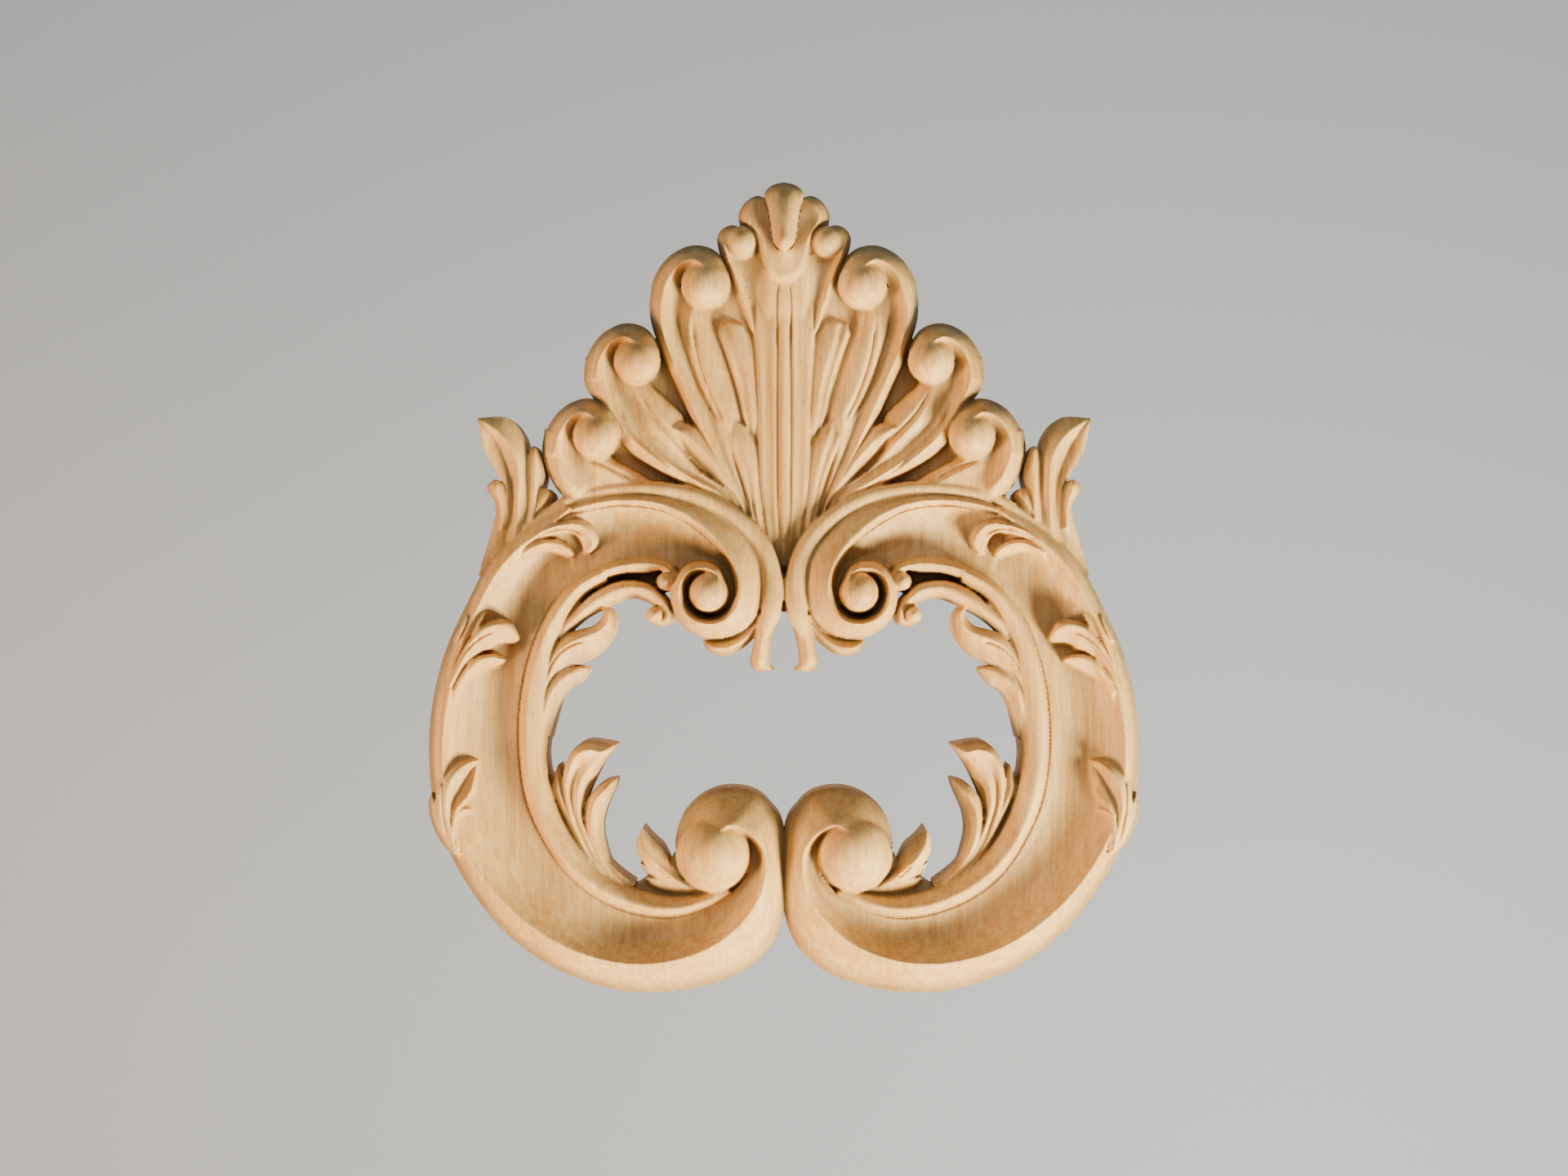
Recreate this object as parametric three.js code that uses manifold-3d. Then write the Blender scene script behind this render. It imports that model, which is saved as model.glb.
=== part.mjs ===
// A furniture applique carved from one board: a palmette over a pair of C-scrolls.
// Millimetres, +Z up. The flat back lies on the plane Y = 0 and the carving faces -Y.
// The origin is on the flat back, on the middle line, behind the foot of the palmette.
import * as THREE from 'three';
import { mergeVertices } from 'three/addons/utils/BufferGeometryUtils.js';
import Module from 'manifold-3d';

// Driving dimensions.
const HEIGHT = 250;
const WIDTH = 220;
const DEPTH = 28;

// The carving is free form, drawn on a grid. A point is [reach, rise, height]: reach counts outwards
// from the middle line, rise upwards from the origin, and height is the relief above the flat back.
// The first two are in grid units and the third is in millimetres at the drawn depth.
const DRAWN_HEIGHT = 999;
const DRAWN_WIDTH = 880;
const DRAWN_DEPTH = 28;

// The drawing is a front view with its eye this far before the eye plane, so it shows what stands
// nearer larger. Both, and the eye's own height on the grid, turn a drawn point into a true one.
const EYE_DISTANCE = 579.5;
const EYE_PLANE = 15;
const EYE_RISE = -120;

function place([reach, rise, height], side) {
  const trueShare = 1 - (height - EYE_PLANE) / EYE_DISTANCE;
  const across = reach * trueShare * WIDTH / DRAWN_WIDTH;
  const up = (EYE_RISE + (rise - EYE_RISE) * trueShare) * HEIGHT / DRAWN_HEIGHT;
  return new THREE.Vector3(side * across, -height * DEPTH / DRAWN_DEPTH, up);
}

const onBack = (point) => new THREE.Vector3(point.x, 0, point.z);

// A sheet is a closed solid under a grid of surface points, row by row, down to the flat back.
function sheet(rows) {
  const last = rows[0].length - 1;
  const triangles = [];
  const quad = (a, b, c, d) => triangles.push([a, b, c], [a, c, d]);
  for (let row = 0; row + 1 < rows.length; row++) {
    const [here, next] = [rows[row], rows[row + 1]];
    for (let column = 0; column < last; column++) {
      quad(here[column], here[column + 1], next[column + 1], next[column]);
    }
    quad(here[0], next[0], onBack(next[0]), onBack(here[0]));
    quad(next[last], here[last], onBack(here[last]), onBack(next[last]));
    quad(onBack(here[last]), onBack(here[0]), onBack(next[0]), onBack(next[last]));
  }
  for (const [end, turned] of [[rows[0], false], [rows[rows.length - 1], true]]) {
    const rim = [onBack(end[0]), onBack(end[last]), ...[...end].reverse()];
    for (let corner = 1; corner + 1 < rim.length; corner++) {
      const fan = [rim[0], rim[corner], rim[corner + 1]];
      triangles.push(turned ? fan.reverse() : fan);
    }
  }
  return closedGeometry(triangles);
}

// A dome is round in the drawing, with its edge and its top at their own heights.
function dome([reach, rise], radius, edge, top, side, sides = 16, rings = 3) {
  const triangles = [];
  const ringPoint = (ring, turn) => {
    const tilt = (Math.PI / 2) * (ring / rings);
    const angle = 2 * Math.PI * (turn % sides) / sides;
    const spread = radius * Math.cos(tilt);
    return place([
      reach + spread * Math.cos(angle),
      rise + spread * Math.sin(angle),
      edge + (top - edge) * Math.sin(tilt),
    ], side);
  };
  const summit = place([reach, rise, top], side);
  const foot = onBack(place([reach, rise, edge], side));
  for (let turn = 0; turn < sides; turn++) {
    const [a, b] = [ringPoint(0, turn), ringPoint(0, turn + 1)];
    triangles.push([onBack(a), onBack(b), b], [onBack(a), b, a], [foot, onBack(b), onBack(a)]);
    for (let ring = 0; ring + 1 < rings; ring++) {
      const [low, lowNext] = [ringPoint(ring, turn), ringPoint(ring, turn + 1)];
      const [high, highNext] = [ringPoint(ring + 1, turn), ringPoint(ring + 1, turn + 1)];
      triangles.push([low, lowNext, highNext], [low, highNext, high]);
    }
    triangles.push([ringPoint(rings - 1, turn), ringPoint(rings - 1, turn + 1), summit]);
  }
  return closedGeometry(triangles);
}

// A ribbon is lofted over rails: its edges, crests and valleys, root to tip, with as many points
// each. swell says how far the surface between two rails stands over a straight line.
function ribbon(rails, side, { swell = [], steps = 1 } = {}) {
  const curves = rails.map((rail) => {
    const points = rail.map(([reach, rise, height]) => new THREE.Vector3(reach, rise, height));
    return new THREE.CatmullRomCurve3(points, false, 'centripetal');
  });
  const count = (rails[0].length - 1) * steps;
  const rows = [];
  for (let step = 0; step <= count; step++) {
    const marks = curves.map((curve) => curve.getPoint(step / count));
    const row = [place(marks[0].toArray(), side)];
    for (let gap = 0; gap + 1 < marks.length; gap++) {
      const bulge = swell[gap] ?? 0;
      const facets = bulge === 0 ? 1 : 3;
      for (let facet = 1; facet <= facets; facet++) {
        const share = facet / facets;
        const point = marks[gap].clone().lerp(marks[gap + 1], share);
        point.z += bulge * 4 * share * (1 - share);
        row.push(place(point.toArray(), side));
      }
    }
    rows.push(row);
  }
  return sheet(rows);
}

// A bead is a rounded strand: [reach, rise, crest height, half width] along its middle, and its
// edges lie `drop` below the crest.
const BEAD_FACETS = [-1, -0.62, 0, 0.62, 1];

function bead(path, side, { drop = 5, steps = 1 } = {}) {
  const middle = new THREE.CatmullRomCurve3(
    path.map(([reach, rise, height]) => new THREE.Vector3(reach, rise, height)), false, 'centripetal');
  const widths = new THREE.CatmullRomCurve3(
    path.map(([, , , halfWidth], index) => new THREE.Vector3(halfWidth, index, 0)), false, 'centripetal');
  const count = (path.length - 1) * steps;
  const rows = [];
  for (let step = 0; step <= count; step++) {
    const at = middle.getPoint(step / count);
    const ahead = middle.getTangent(step / count);
    const sideways = new THREE.Vector2(-ahead.y, ahead.x).normalize();
    const halfWidth = widths.getPoint(step / count).x;
    rows.push(BEAD_FACETS.map((share) => place([
      at.x + sideways.x * halfWidth * share,
      at.y + sideways.y * halfWidth * share,
      at.z - drop * (1 - Math.sqrt(1 - share * share)),
    ], side)));
  }
  return sheet(rows);
}

function closedGeometry(triangles) {
  const flat = triangles.flat().flatMap((corner) => corner.toArray());
  const loose = new THREE.BufferGeometry();
  loose.setAttribute('position', new THREE.Float32BufferAttribute(flat, 3));
  const merged = mergeVertices(loose, 1e-4);
  const kept = [];
  const index = merged.index.array;
  for (let start = 0; start < index.length; start += 3) {
    const [a, b, c] = index.slice(start, start + 3);
    if (a !== b && b !== c && c !== a) kept.push(a, b, c);
  }
  merged.setIndex(kept);
  return merged;
}

// The palmette: three pairs of curled blades fan out beside a ribbed middle leaf.
const ribbedLeaf = [
  [[42, 240, 13.5], [40, 205, 15], [38, 170, 15], [36, 130, 15], [34, 80, 15], [32, 10, 15],
    [24, -50, 14.5], [14, -80, 13.5]],
  [[35, 240, 16], [33, 205, 17.6], [31, 170, 18], [29, 130, 18], [27, 80, 18], [25, 10, 17.5],
    [19, -50, 16.5], [11, -83, 14]],
  [[11, 240, 17], [11, 205, 18.4], [11, 170, 18.5], [12, 130, 18.5], [12, 80, 18.5], [11, 10, 18],
    [9, -50, 17], [5, -88, 14.5]],
  [[8, 240, 16.5], [8, 205, 17], [8.5, 170, 17], [9, 130, 17], [9, 80, 17], [8.5, 10, 16.5],
    [7, -50, 16], [4, -90, 14]],
  [[4, 240, 17.2], [4, 205, 18.2], [4, 170, 18.4], [4.5, 130, 18.4], [4.5, 80, 18.4], [4, 10, 18],
    [3.5, -50, 17.2], [2, -95, 14.4]],
  [[-1, 240, 17.4], [-1, 205, 18.5], [-1, 170, 18.8], [-1, 130, 18.8], [-1, 80, 18.8], [-1, 10, 18.4],
    [-1, -50, 17.6], [-1, -100, 14.5]],
];
const hoodWing = [
  [[22, 357, 14], [33, 360, 13.5], [44, 355, 13], [53, 344, 13], [56, 333, 13], [50, 327, 14],
    [40, 321, 15], [34, 308, 16], [31, 291, 16], [28, 278, 16.3], [23, 266, 17], [13, 256, 17.8],
    [-1, 252, 18]],
  [[21, 354, 16], [30, 353, 17.5], [37, 348, 18.5], [42, 340, 19], [43, 331, 19.5], [38, 323, 20],
    [33, 313, 20.5], [29, 302, 20.8], [26, 290, 21], [22, 279, 21.2], [17, 271, 21.3], [9, 265, 21.3],
    [-1, 263, 21.3]],
  [[20, 350, 17], [19, 344, 17.3], [18, 338, 17.6], [17, 330, 17.9], [16, 322, 18.2], [15, 314, 18.6],
    [12, 305, 19], [8, 300, 20.5], [6, 297, 21.8], [4, 296, 22.4], [2, 295.5, 22.6], [1, 295, 22.8],
    [-1, 295, 22.8]],
];
const hoodBody = [
  [[62, 284, 15.5], [55, 265, 15.8], [47, 248, 16], [41, 228, 16], [36, 208, 15], [33, 175, 13]],
  [[28, 290, 17.5], [27, 270, 18], [26, 250, 18.3], [25, 230, 18.3], [24, 208, 17.4], [24, 175, 15.5]],
  [[-1, 300, 19], [-1, 275, 19], [-1, 255, 19], [-1, 235, 18.8], [-1, 210, 18.2], [-1, 175, 16.5]],
];
const tongue = [
  [[3, 376, 12], [14, 373, 14], [24, 363, 16], [20, 345, 19], [17, 330, 20.5], [15, 315, 21.5],
    [12, 302, 22.5], [5, 295, 23]],
  [[-1, 377, 13], [-1, 374, 16], [-1, 366, 19.5], [-1, 350, 22.5], [-1, 334, 24.5], [-1, 318, 26],
    [-1, 305, 27], [-1, 295, 25]],
];
const budStem = [
  [[82, 308, 13], [80, 297, 13.5], [75, 286, 14], [68, 272, 14.5], [63, 257, 14.5], [56, 238, 14.5],
    [49, 218, 14.5], [42, 198, 14.5]],
  [[77, 313, 17], [73, 297, 18.5], [68, 282, 19], [61, 265, 19], [55, 248, 19], [49, 230, 18.5],
    [43, 212, 18.5], [38, 192, 18]],
  [[67, 315, 17], [66, 297, 16.5], [61, 282, 16], [54, 268, 16], [48, 250, 16], [42, 230, 16],
    [36, 210, 16], [32, 190, 16]],
];
const upperLobe = [
  [[82, 190, 15], [77, 178, 15.5], [68, 153, 15], [58, 120, 14.5], [50, 85, 14], [44, 60, 12.5]],
  [[77, 203, 16], [70, 182, 17.3], [61, 153, 17.3], [52, 120, 16.8], [46, 85, 16.3], [41, 60, 14]],
  [[66, 206.5, 16.5], [61, 182, 18], [52, 153, 18.3], [44, 120, 18], [40, 85, 17.5], [37, 60, 15]],
  [[53, 203, 16.2], [48, 181, 17.2], [42, 153, 17.4], [37, 120, 17.2], [34, 85, 17], [32, 60, 15]],
  [[41, 190, 15.3], [37, 178, 16], [33, 153, 16], [31, 120, 16], [29, 85, 16], [28, 60, 15]],
];
const lowerLobe = [
  [[73, 76, 15], [70, 62, 15.3], [61, 38, 15], [50, 8, 14.8], [41, -35, 14], [30, -62, 12.5]],
  [[71, 85, 15.8], [65, 65, 17], [54, 38, 17], [45, 8, 16.7], [37, -35, 16], [28, -62, 13.5]],
  [[61, 86.5, 16.3], [55, 65, 17.8], [46, 38, 18], [39, 8, 17.5], [33, -35, 17], [25, -62, 14.5]],
  [[51, 81, 15.8], [44, 62, 17], [38, 38, 17.2], [34, 8, 17], [29, -35, 16.6], [22, -62, 14.3]],
  [[44, 74, 14.8], [34, 57, 15.7], [31, 38, 16], [29, 8, 16], [26, -35, 16], [20, -62, 14]],
];
const sideLobe = [
  [[149, 81, 14], [134, 81, 15], [115, 81, 15.5], [92, 55, 15], [70, 20, 14.5], [48, -22, 13.5]],
  [[148, 79, 14.5], [132, 72, 18], [115, 60, 18.5], [92, 38, 18], [72, 10, 17], [49, -25, 15]],
  [[149, 78, 13], [138, 65, 13], [122, 44, 13], [98, 20, 13], [75, -6, 13], [52, -32, 13]],
];
const upperBlade = [
  [[162, 250, 11], [164, 212, 11], [152, 172, 11.5], [135, 132, 12], [114, 85, 13], [92, 44, 13],
    [57, -15, 13], [40, -48, 12.5]],
  [[148, 248, 20], [151, 210, 20], [141, 172, 20], [124, 134, 19.5], [103, 87, 19], [84, 47, 17.5],
    [53, -13, 16], [38, -47, 13.5]],
  [[128, 248, 15], [132, 210, 15.5], [126, 170, 16], [112, 132, 16], [92, 89, 16], [77, 50, 15.5],
    [50, -12, 15], [36, -46, 13.3]],
  [[100, 250, 16], [115, 208, 18.5], [108, 168, 19], [98, 132, 18.5], [76, 92, 18], [68, 47, 16.5],
    [47, -13, 15.5], [34, -46, 13.3]],
  [[75, 250, 12], [88, 210, 14], [72, 170, 14], [58, 132, 13.5], [49, 90, 13], [59, 40, 12.5],
    [43, -20, 12.5], [31, -50, 12.3]],
];
const middleBlade = [
  [[243, 163, 11], [244, 130, 11], [225, 100, 11.5], [195, 52, 12.5], [160, 27, 13], [120, 5, 13],
    [75, -15, 13], [60, -42, 12.5]],
  [[227, 157, 20], [227, 130, 20], [212, 100, 19.5], [185, 63, 19.5], [152, 38, 19], [113, 15, 18],
    [72, -8, 16], [58, -38, 13.5]],
  [[210, 157, 15], [208, 134, 15.5], [194, 102, 16], [175, 73, 16], [144, 48, 16], [107, 20, 15.5],
    [70, -5, 15], [56, -36, 13.3]],
  [[182, 160, 16], [188, 135, 17.5], [175, 106, 18.5], [162, 83, 18.5], [135, 55, 17.5],
    [102, 23, 16.5], [67, -3, 15.5], [54, -35, 13.3]],
  [[157, 170, 12], [165, 134, 13], [145, 112, 13.5], [122, 88, 14], [122, 47, 14.5], [95, 17, 14],
    [63, -5, 14], [50, -38, 12.3]],
];
const lowerBlade = [
  [[293, 75, 11], [296, 45, 11], [285, 12, 11.5], [270, -9, 12], [255, -26, 12]],
  [[276, 68, 20], [277, 45, 20], [268, 19, 19.5], [253, 0, 18], [240, -16, 14]],
  [[260, 65, 15], [257, 45, 15.5], [245, 22, 16], [225, 3, 16], [214, -14, 14]],
  [[232, 65, 16], [235, 42, 17], [220, 23, 17], [195, 5, 16], [188, -12, 14]],
  [[208, 80, 12], [212, 42, 13], [188, 26, 13.5], [160, 8, 13.5], [155, -8, 13]],
];

// Each blade ends in a curl: a rim climbs round a ball and runs out on top of it. It is drawn once,
// in shares of the ball's radius from its centre.
const curl = [
  [[2.3, -0.87, 11], [2.13, 0.23, 11], [1.53, 1.13, 11], [0.63, 1.6, 12], [-0.13, 1.53, 13],
    [-0.6, 1.2, 14], [-0.93, 0.57, 15], [-1.03, -0.03, 16]],
  [[1.83, -0.87, 20], [1.57, 0.13, 20.5], [1.07, 0.8, 21.5], [0.53, 1.0, 22.5], [0.1, 0.77, 23.5],
    [-0.2, 0.57, 24], [-0.4, 0.33, 24], [-0.53, 0.03, 24]],
  [[1.3, -0.87, 15.5], [1.07, -0.1, 15], [0.77, 0.43, 15.5], [0.43, 0.73, 17.5], [0.13, 0.63, 22.5],
    [-0.1, 0.37, 25], [-0.2, 0.17, 25.5], [-0.27, -0.03, 25.5]],
];
const curlBalls = [[[96, 251], 30], [[180, 158], 28.5], [[230, 66], 28.5]];
const CURL_BALL_EDGE = 18;
const CURL_BALL_TOP = 26;

// The ground between the blades is a thin web that ties the palmette together.
const WEB = 9;
const palmetteWeb = [
  [[34, 330, WEB], [78, 240, WEB], [140, 180, WEB], [210, 120, WEB], [255, 40, WEB], [250, -20, WEB]],
  [[-1, 330, WEB], [-1, 240, WEB], [-1, 160, WEB], [-1, 80, WEB], [-1, 0, WEB], [-1, -150, WEB]],
];
const leafGround = [
  [[50, 322, 16.5], [76, 262, 14.5], [90, 210, 14], [70, 150, 13.5], [66, 88, 13.5], [62, 22, 14.5],
    [44, -44, 14]],
  [[20, 322, 17], [30, 260, 15.5], [30, 205, 15], [30, 150, 14.5], [30, 85, 14.5], [28, 20, 14.5],
    [20, -48, 14]],
];

function palmette(side) {
  const curls = curlBalls.map(([[reach, rise], radius]) => {
    const rails = curl.map((rail) => rail.map(([outwards, upwards, height]) =>
      [reach + radius * outwards, rise + radius * upwards, height]));
    return ribbon(rails, side, { swell: [1.8, 0] });
  });
  const balls = curlBalls.map(([centre, radius]) =>
    dome(centre, radius, CURL_BALL_EDGE, CURL_BALL_TOP, side));
  return [
    ribbon(palmetteWeb, side),
    ribbon(leafGround, side),
    ribbon(ribbedLeaf, side),
    ribbon(hoodWing, side),
    ribbon(hoodBody, side),
    ribbon(tongue, side, { swell: [1.5] }),
    dome([63, 305], 19, 13, 18.5, side, 12),
    dome([52, 303], 20, 16, 22, side, 12),
    ribbon(budStem, side),
    ribbon(upperLobe, side),
    ribbon(lowerLobe, side),
    ribbon(sideLobe, side),
    ribbon(upperBlade, side),
    ribbon(middleBlade, side),
    ribbon(lowerBlade, side),
    ...curls,
    ...balls,
  ];
}

// The C-scroll: a broad cove between an outer crest and an inner strand, with a volute at each end.
const limb = [
  [[270, -12, 12], [315, -42, 11], [357, -82, 10], [390, -142, 9], [415, -198, 9], [430, -258, 9],
    [435, -315, 9], [430, -380, 9], [412, -438, 9], [387, -484, 9], [342, -541, 9], [275, -588, 9],
    [195, -613, 9], [115, -610, 9], [55, -591, 9], [15, -556, 10], [-2, -505, 12], [-2, -455, 13],
    [4, -403, 13], [30, -373, 13]],
  [[263, -28, 17], [305, -55, 18], [345, -92, 19], [375, -142, 19], [398, -200, 19], [413, -260, 19],
    [419, -318, 19], [413, -380, 19], [393, -435, 19], [363, -482, 19], [315, -530, 20],
    [255, -565, 20], [185, -580, 20], [122, -572, 21], [72, -547, 21], [38, -509, 22],
    [24, -472, 23], [26, -443, 23], [43, -421, 24], [63, -412, 24]],
  [[242, -105, 14], [270, -127, 14], [292, -158, 14], [308, -196, 13.5], [319, -242, 13],
    [323, -282, 13], [322, -325, 13], [312, -375, 13], [292, -422, 13], [262, -461, 13],
    [225, -492, 13], [185, -512, 13], [148, -520, 13], [112, -516, 14], [82, -503, 14],
    [60, -488, 15], [45, -468, 16], [43, -445, 17], [55, -425, 18], [70, -418, 20]],
];
const upperCove = [
  [[59, -112, 17], [67, -85, 17], [92, -56, 17.5], [125, -32, 18], [170, -17, 18], [215, -17, 17.5],
    [275, -36, 16.8]],
  [[90, -135, 12], [110, -115, 12], [125, -100, 12.5], [145, -90, 13], [175, -84, 13.5],
    [210, -90, 14], [252, -114, 13.8]],
];
const innerStrand = [
  [[215, -89, 13.5], [257, -112, 13.5], [286, -144, 13.5], [305, -184, 13], [318, -230, 12.5],
    [324, -275, 12.5], [324, -325, 12.5], [316, -378, 12.5], [299, -420, 12.5], [268, -468, 12.5],
    [228, -500, 12.5], [178, -519, 12.5], [130, -522, 12.5], [89, -510, 13.5], [64, -495, 14.5]],
  [[217, -98, 19], [254, -119, 19], [279, -150, 19], [298, -187, 18.5], [311, -232, 18],
    [316, -275, 18], [316, -324, 18], [307, -375, 18], [292, -418, 18], [262, -461, 18],
    [224, -490, 18], [176, -510, 18], [130, -513, 18], [94, -502, 17], [67, -489, 16]],
  [[215, -113, 13], [242, -129, 13.5], [263, -157, 14], [278, -190, 14], [284, -238, 14],
    [285, -278, 13], [291, -325, 13], [285, -363, 13], [266, -413, 12], [238, -452, 12],
    [205, -477, 12], [165, -492, 12], [130, -496, 12], [98, -490, 12], [80, -482, 13]],
];
const strandTip = [
  [[225, -93, 13.5], [205, -87, 13.5], [180, -84, 13.5], [160, -85, 13.5], [145, -88.5, 14],
    [134, -96, 14], [130, -106, 14.5], [130.5, -116, 14.5], [136, -122, 14.5]],
  [[221, -98, 19], [203, -93, 19], [180, -89.5, 19], [160, -90, 19], [147.5, -93.5, 19],
    [139, -99.5, 19], [134.5, -107, 18.5], [134, -115, 18], [138, -119.5, 17]],
  [[215, -109, 13.5], [198, -103, 14], [180, -102, 14], [163, -101, 14], [152, -99.5, 14],
    [144, -102, 14.5], [139, -108, 15], [138, -114, 15], [140, -117, 15]],
];
const secondStrand = [
  [[280, -178, 12.5], [270, -160, 13], [256, -144, 13], [237, -127, 13.5], [216, -115, 13.5],
    [195, -110, 13.5], [178, -111, 13.5], [163, -115, 13.5], [152, -123, 13.5], [142, -135, 13.5],
    [136, -148, 13], [136.5, -159, 13], [143, -166, 13], [154.5, -167, 13], [165, -163, 13]],
  [[277, -181, 14.5], [264, -163, 16.5], [250, -151, 17.5], [233, -137, 18], [215, -127, 18],
    [195, -120, 18], [179, -120, 18], [166, -124, 18], [157, -131, 18], [148, -140, 18],
    [142, -150, 17.5], [142.5, -158, 17.5], [147, -162, 17], [154.5, -163, 16.5], [162, -160, 16]],
  [[273, -184, 13], [258, -169, 13], [243, -157, 13], [229, -149, 13.5], [216, -142.5, 13.5],
    [195, -134, 13], [180, -133, 13], [169, -136.5, 13], [161, -141, 13], [154, -145, 13.5],
    [149.5, -151, 14], [149, -155, 14.5], [151.5, -158, 15], [155, -159, 15], [159, -157.5, 15]],
];
const upperVolute = [
  [[275, -26, 13.5], [253, -16, 15], [210, -7, 15], [160, -6, 15.5], [115, -15, 16], [80, -31, 17],
    [52, -54, 18], [33, -83, 19], [26, -118, 19], [31, -150, 19], [52, -173, 18.5], [87, -182, 18],
    [118, -172, 18], [136, -148, 18], [138, -117, 18], [122, -93, 18], [100, -87, 18], [80, -94, 19],
    [70, -112, 20]],
  [[275, -32, 15.5], [251, -23, 17.5], [210, -14, 18.5], [161, -16, 19.5], [121, -32, 20.5],
    [93, -53, 22], [74, -73, 23.5], [60, -97, 25], [55, -122, 26], [61, -144, 26], [73, -158, 26],
    [93, -163, 26], [113, -157, 25.5], [127, -142, 25.5], [128, -118, 25], [116, -100, 25],
    [99, -96, 25], [85, -101, 25.5], [78, -114, 26]],
  [[274, -38, 13.5], [250, -28, 15], [210, -19, 16], [162, -21, 17], [123, -36, 18], [96, -56, 18],
    [78, -77, 17], [67, -100, 15], [64, -124, 15], [69, -141, 15], [79, -151, 15], [94, -155, 15],
    [108, -150, 15], [118, -138, 15], [119, -120, 15], [110, -106, 15], [97, -102, 17], [87, -107, 21],
    [86, -116, 26]],
];
const outerBead = [
  [318, -47, 14, 5], [295, -32, 15, 6], [270, -16, 16, 7], [248, -7, 16.5, 7.5], [210, 0, 17, 8.5],
    [170, 2, 17.5, 9], [130, -2, 18, 9.5], [98, -11, 18.5, 10], [70, -25, 19.5, 10.5],
    [48, -43, 20.5, 11], [30, -65, 21, 12], [18, -91, 21.5, 13], [13, -120, 22, 14.5],
    [16, -148, 22, 13], [22, -168, 20.5, 9.5], [25, -181, 18, 5],
];
const crescent = [
  [[94, -180, 12], [80, -181, 12], [62, -177, 12], [45, -166, 12], [30, -150, 13]],
  [[99, -185, 14], [88, -193, 16], [68, -193, 17], [48, -182, 17], [27, -157, 18]],
  [[100, -186, 11], [92, -198, 11], [70, -203, 11], [46, -190, 11], [24, -165, 12]],
];
const tail = [
  [[39, -155, 14], [37, -168, 14], [37, -182, 14], [39, -196, 13.5], [42, -208, 13], [39, -218, 12.5],
    [30, -223, 12]],
  [[25, -150, 20.5], [25, -166, 20], [27, -181, 19.5], [29, -196, 18.5], [30, -208, 18],
    [28, -215, 17], [21, -220, 15]],
  [[7, -148, 15], [10, -165, 15], [14, -180, 15], [17, -195, 15], [18, -207, 15], [17, -215, 14.5],
    [11, -221, 13]],
];
const lowerVoluteCap = [
  [[4, -403, 13], [30, -373, 13], [65, -364, 12], [98, -373, 12], [124, -398, 12], [133, -432, 12],
    [128, -457, 12]],
  [[45, -419, 24], [63, -412, 24.5], [78, -418, 25], [86, -428, 26], [90, -436, 26.5],
    [90, -444, 26.5], [88, -450, 26.5]],
];

// A lower ground joins what stands close together.
const grounds = [
  [
    [[146, -86, 5], [185, -88, 5], [215, -98, 5], [249, -129, 5], [272, -158, 5]],
    [[142, -124, 5], [160, -130, 5], [190, -124, 5], [233, -142, 5], [262, -172, 5]],
  ],
  [
    [[18, -60, 12], [22, -120, 16.5], [25, -158, 16.5], [60, -186, 12]],
    [[120, -60, 11], [138, -100, 11], [132, -145, 11], [105, -176, 11]],
  ],
  [
    [[10, -440, 10], [35, -490, 12.5], [90, -512, 12], [150, -505, 11], [190, -490, 10]],
    [[60, -430, 10], [75, -460, 12.5], [90, -470, 12], [128, -464, 10], [165, -474, 10]],
  ],
  [
    [[293, -343, 10], [288, -365, 10], [272, -404, 10], [252, -440, 11], [222, -478, 12],
      [192, -497, 12]],
    [[283, -351, 10], [272, -369, 10], [251, -397, 10], [234, -430, 11], [208, -462, 12],
      [182, -482, 12]],
  ],
  [
    [[264, -358, 10], [258, -400, 10], [245, -440, 10]],
    [[247, -358, 10], [242, -400, 10], [230, -440, 10]],
  ],
  [
    [[330, -62, 11], [292, -27, 12], [250, -12, 13]],
    [[312, -82, 11], [276, -50, 12], [240, -38, 13]],
  ],
  [
    [[130, 12, 12.5], [80, -14, 13], [50, -42, 13.5], [26, -80, 13.5]],
    [[62, 12, 13], [34, -20, 13], [12, -50, 13], [-1, -95, 13]],
  ],
];

function scroll(side) {
  return [
    ...grounds.map((rails) => ribbon(rails, side)),
    ribbon(limb, side, { swell: [0, -4.5] }),
    ribbon(upperCove, side, { swell: [-3.5] }),
    ribbon(innerStrand, side),
    ribbon(strandTip, side),
    ribbon(secondStrand, side),
    dome([145, -112], 12, 15, 22, side, 10, 2),
    dome([158.5, -153], 10.5, 13.5, 21, side, 10, 2),
    ribbon(upperVolute, side),
    dome([92, -126], 25.5, 20, 28, side),
    bead(outerBead, side),
    ribbon(crescent, side),
    ribbon(tail, side),
    ribbon(lowerVoluteCap, side, { swell: [1.6] }),
    dome([86.5, -446], 46, 16, 27.5, side, 20),
  ];
}

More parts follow.
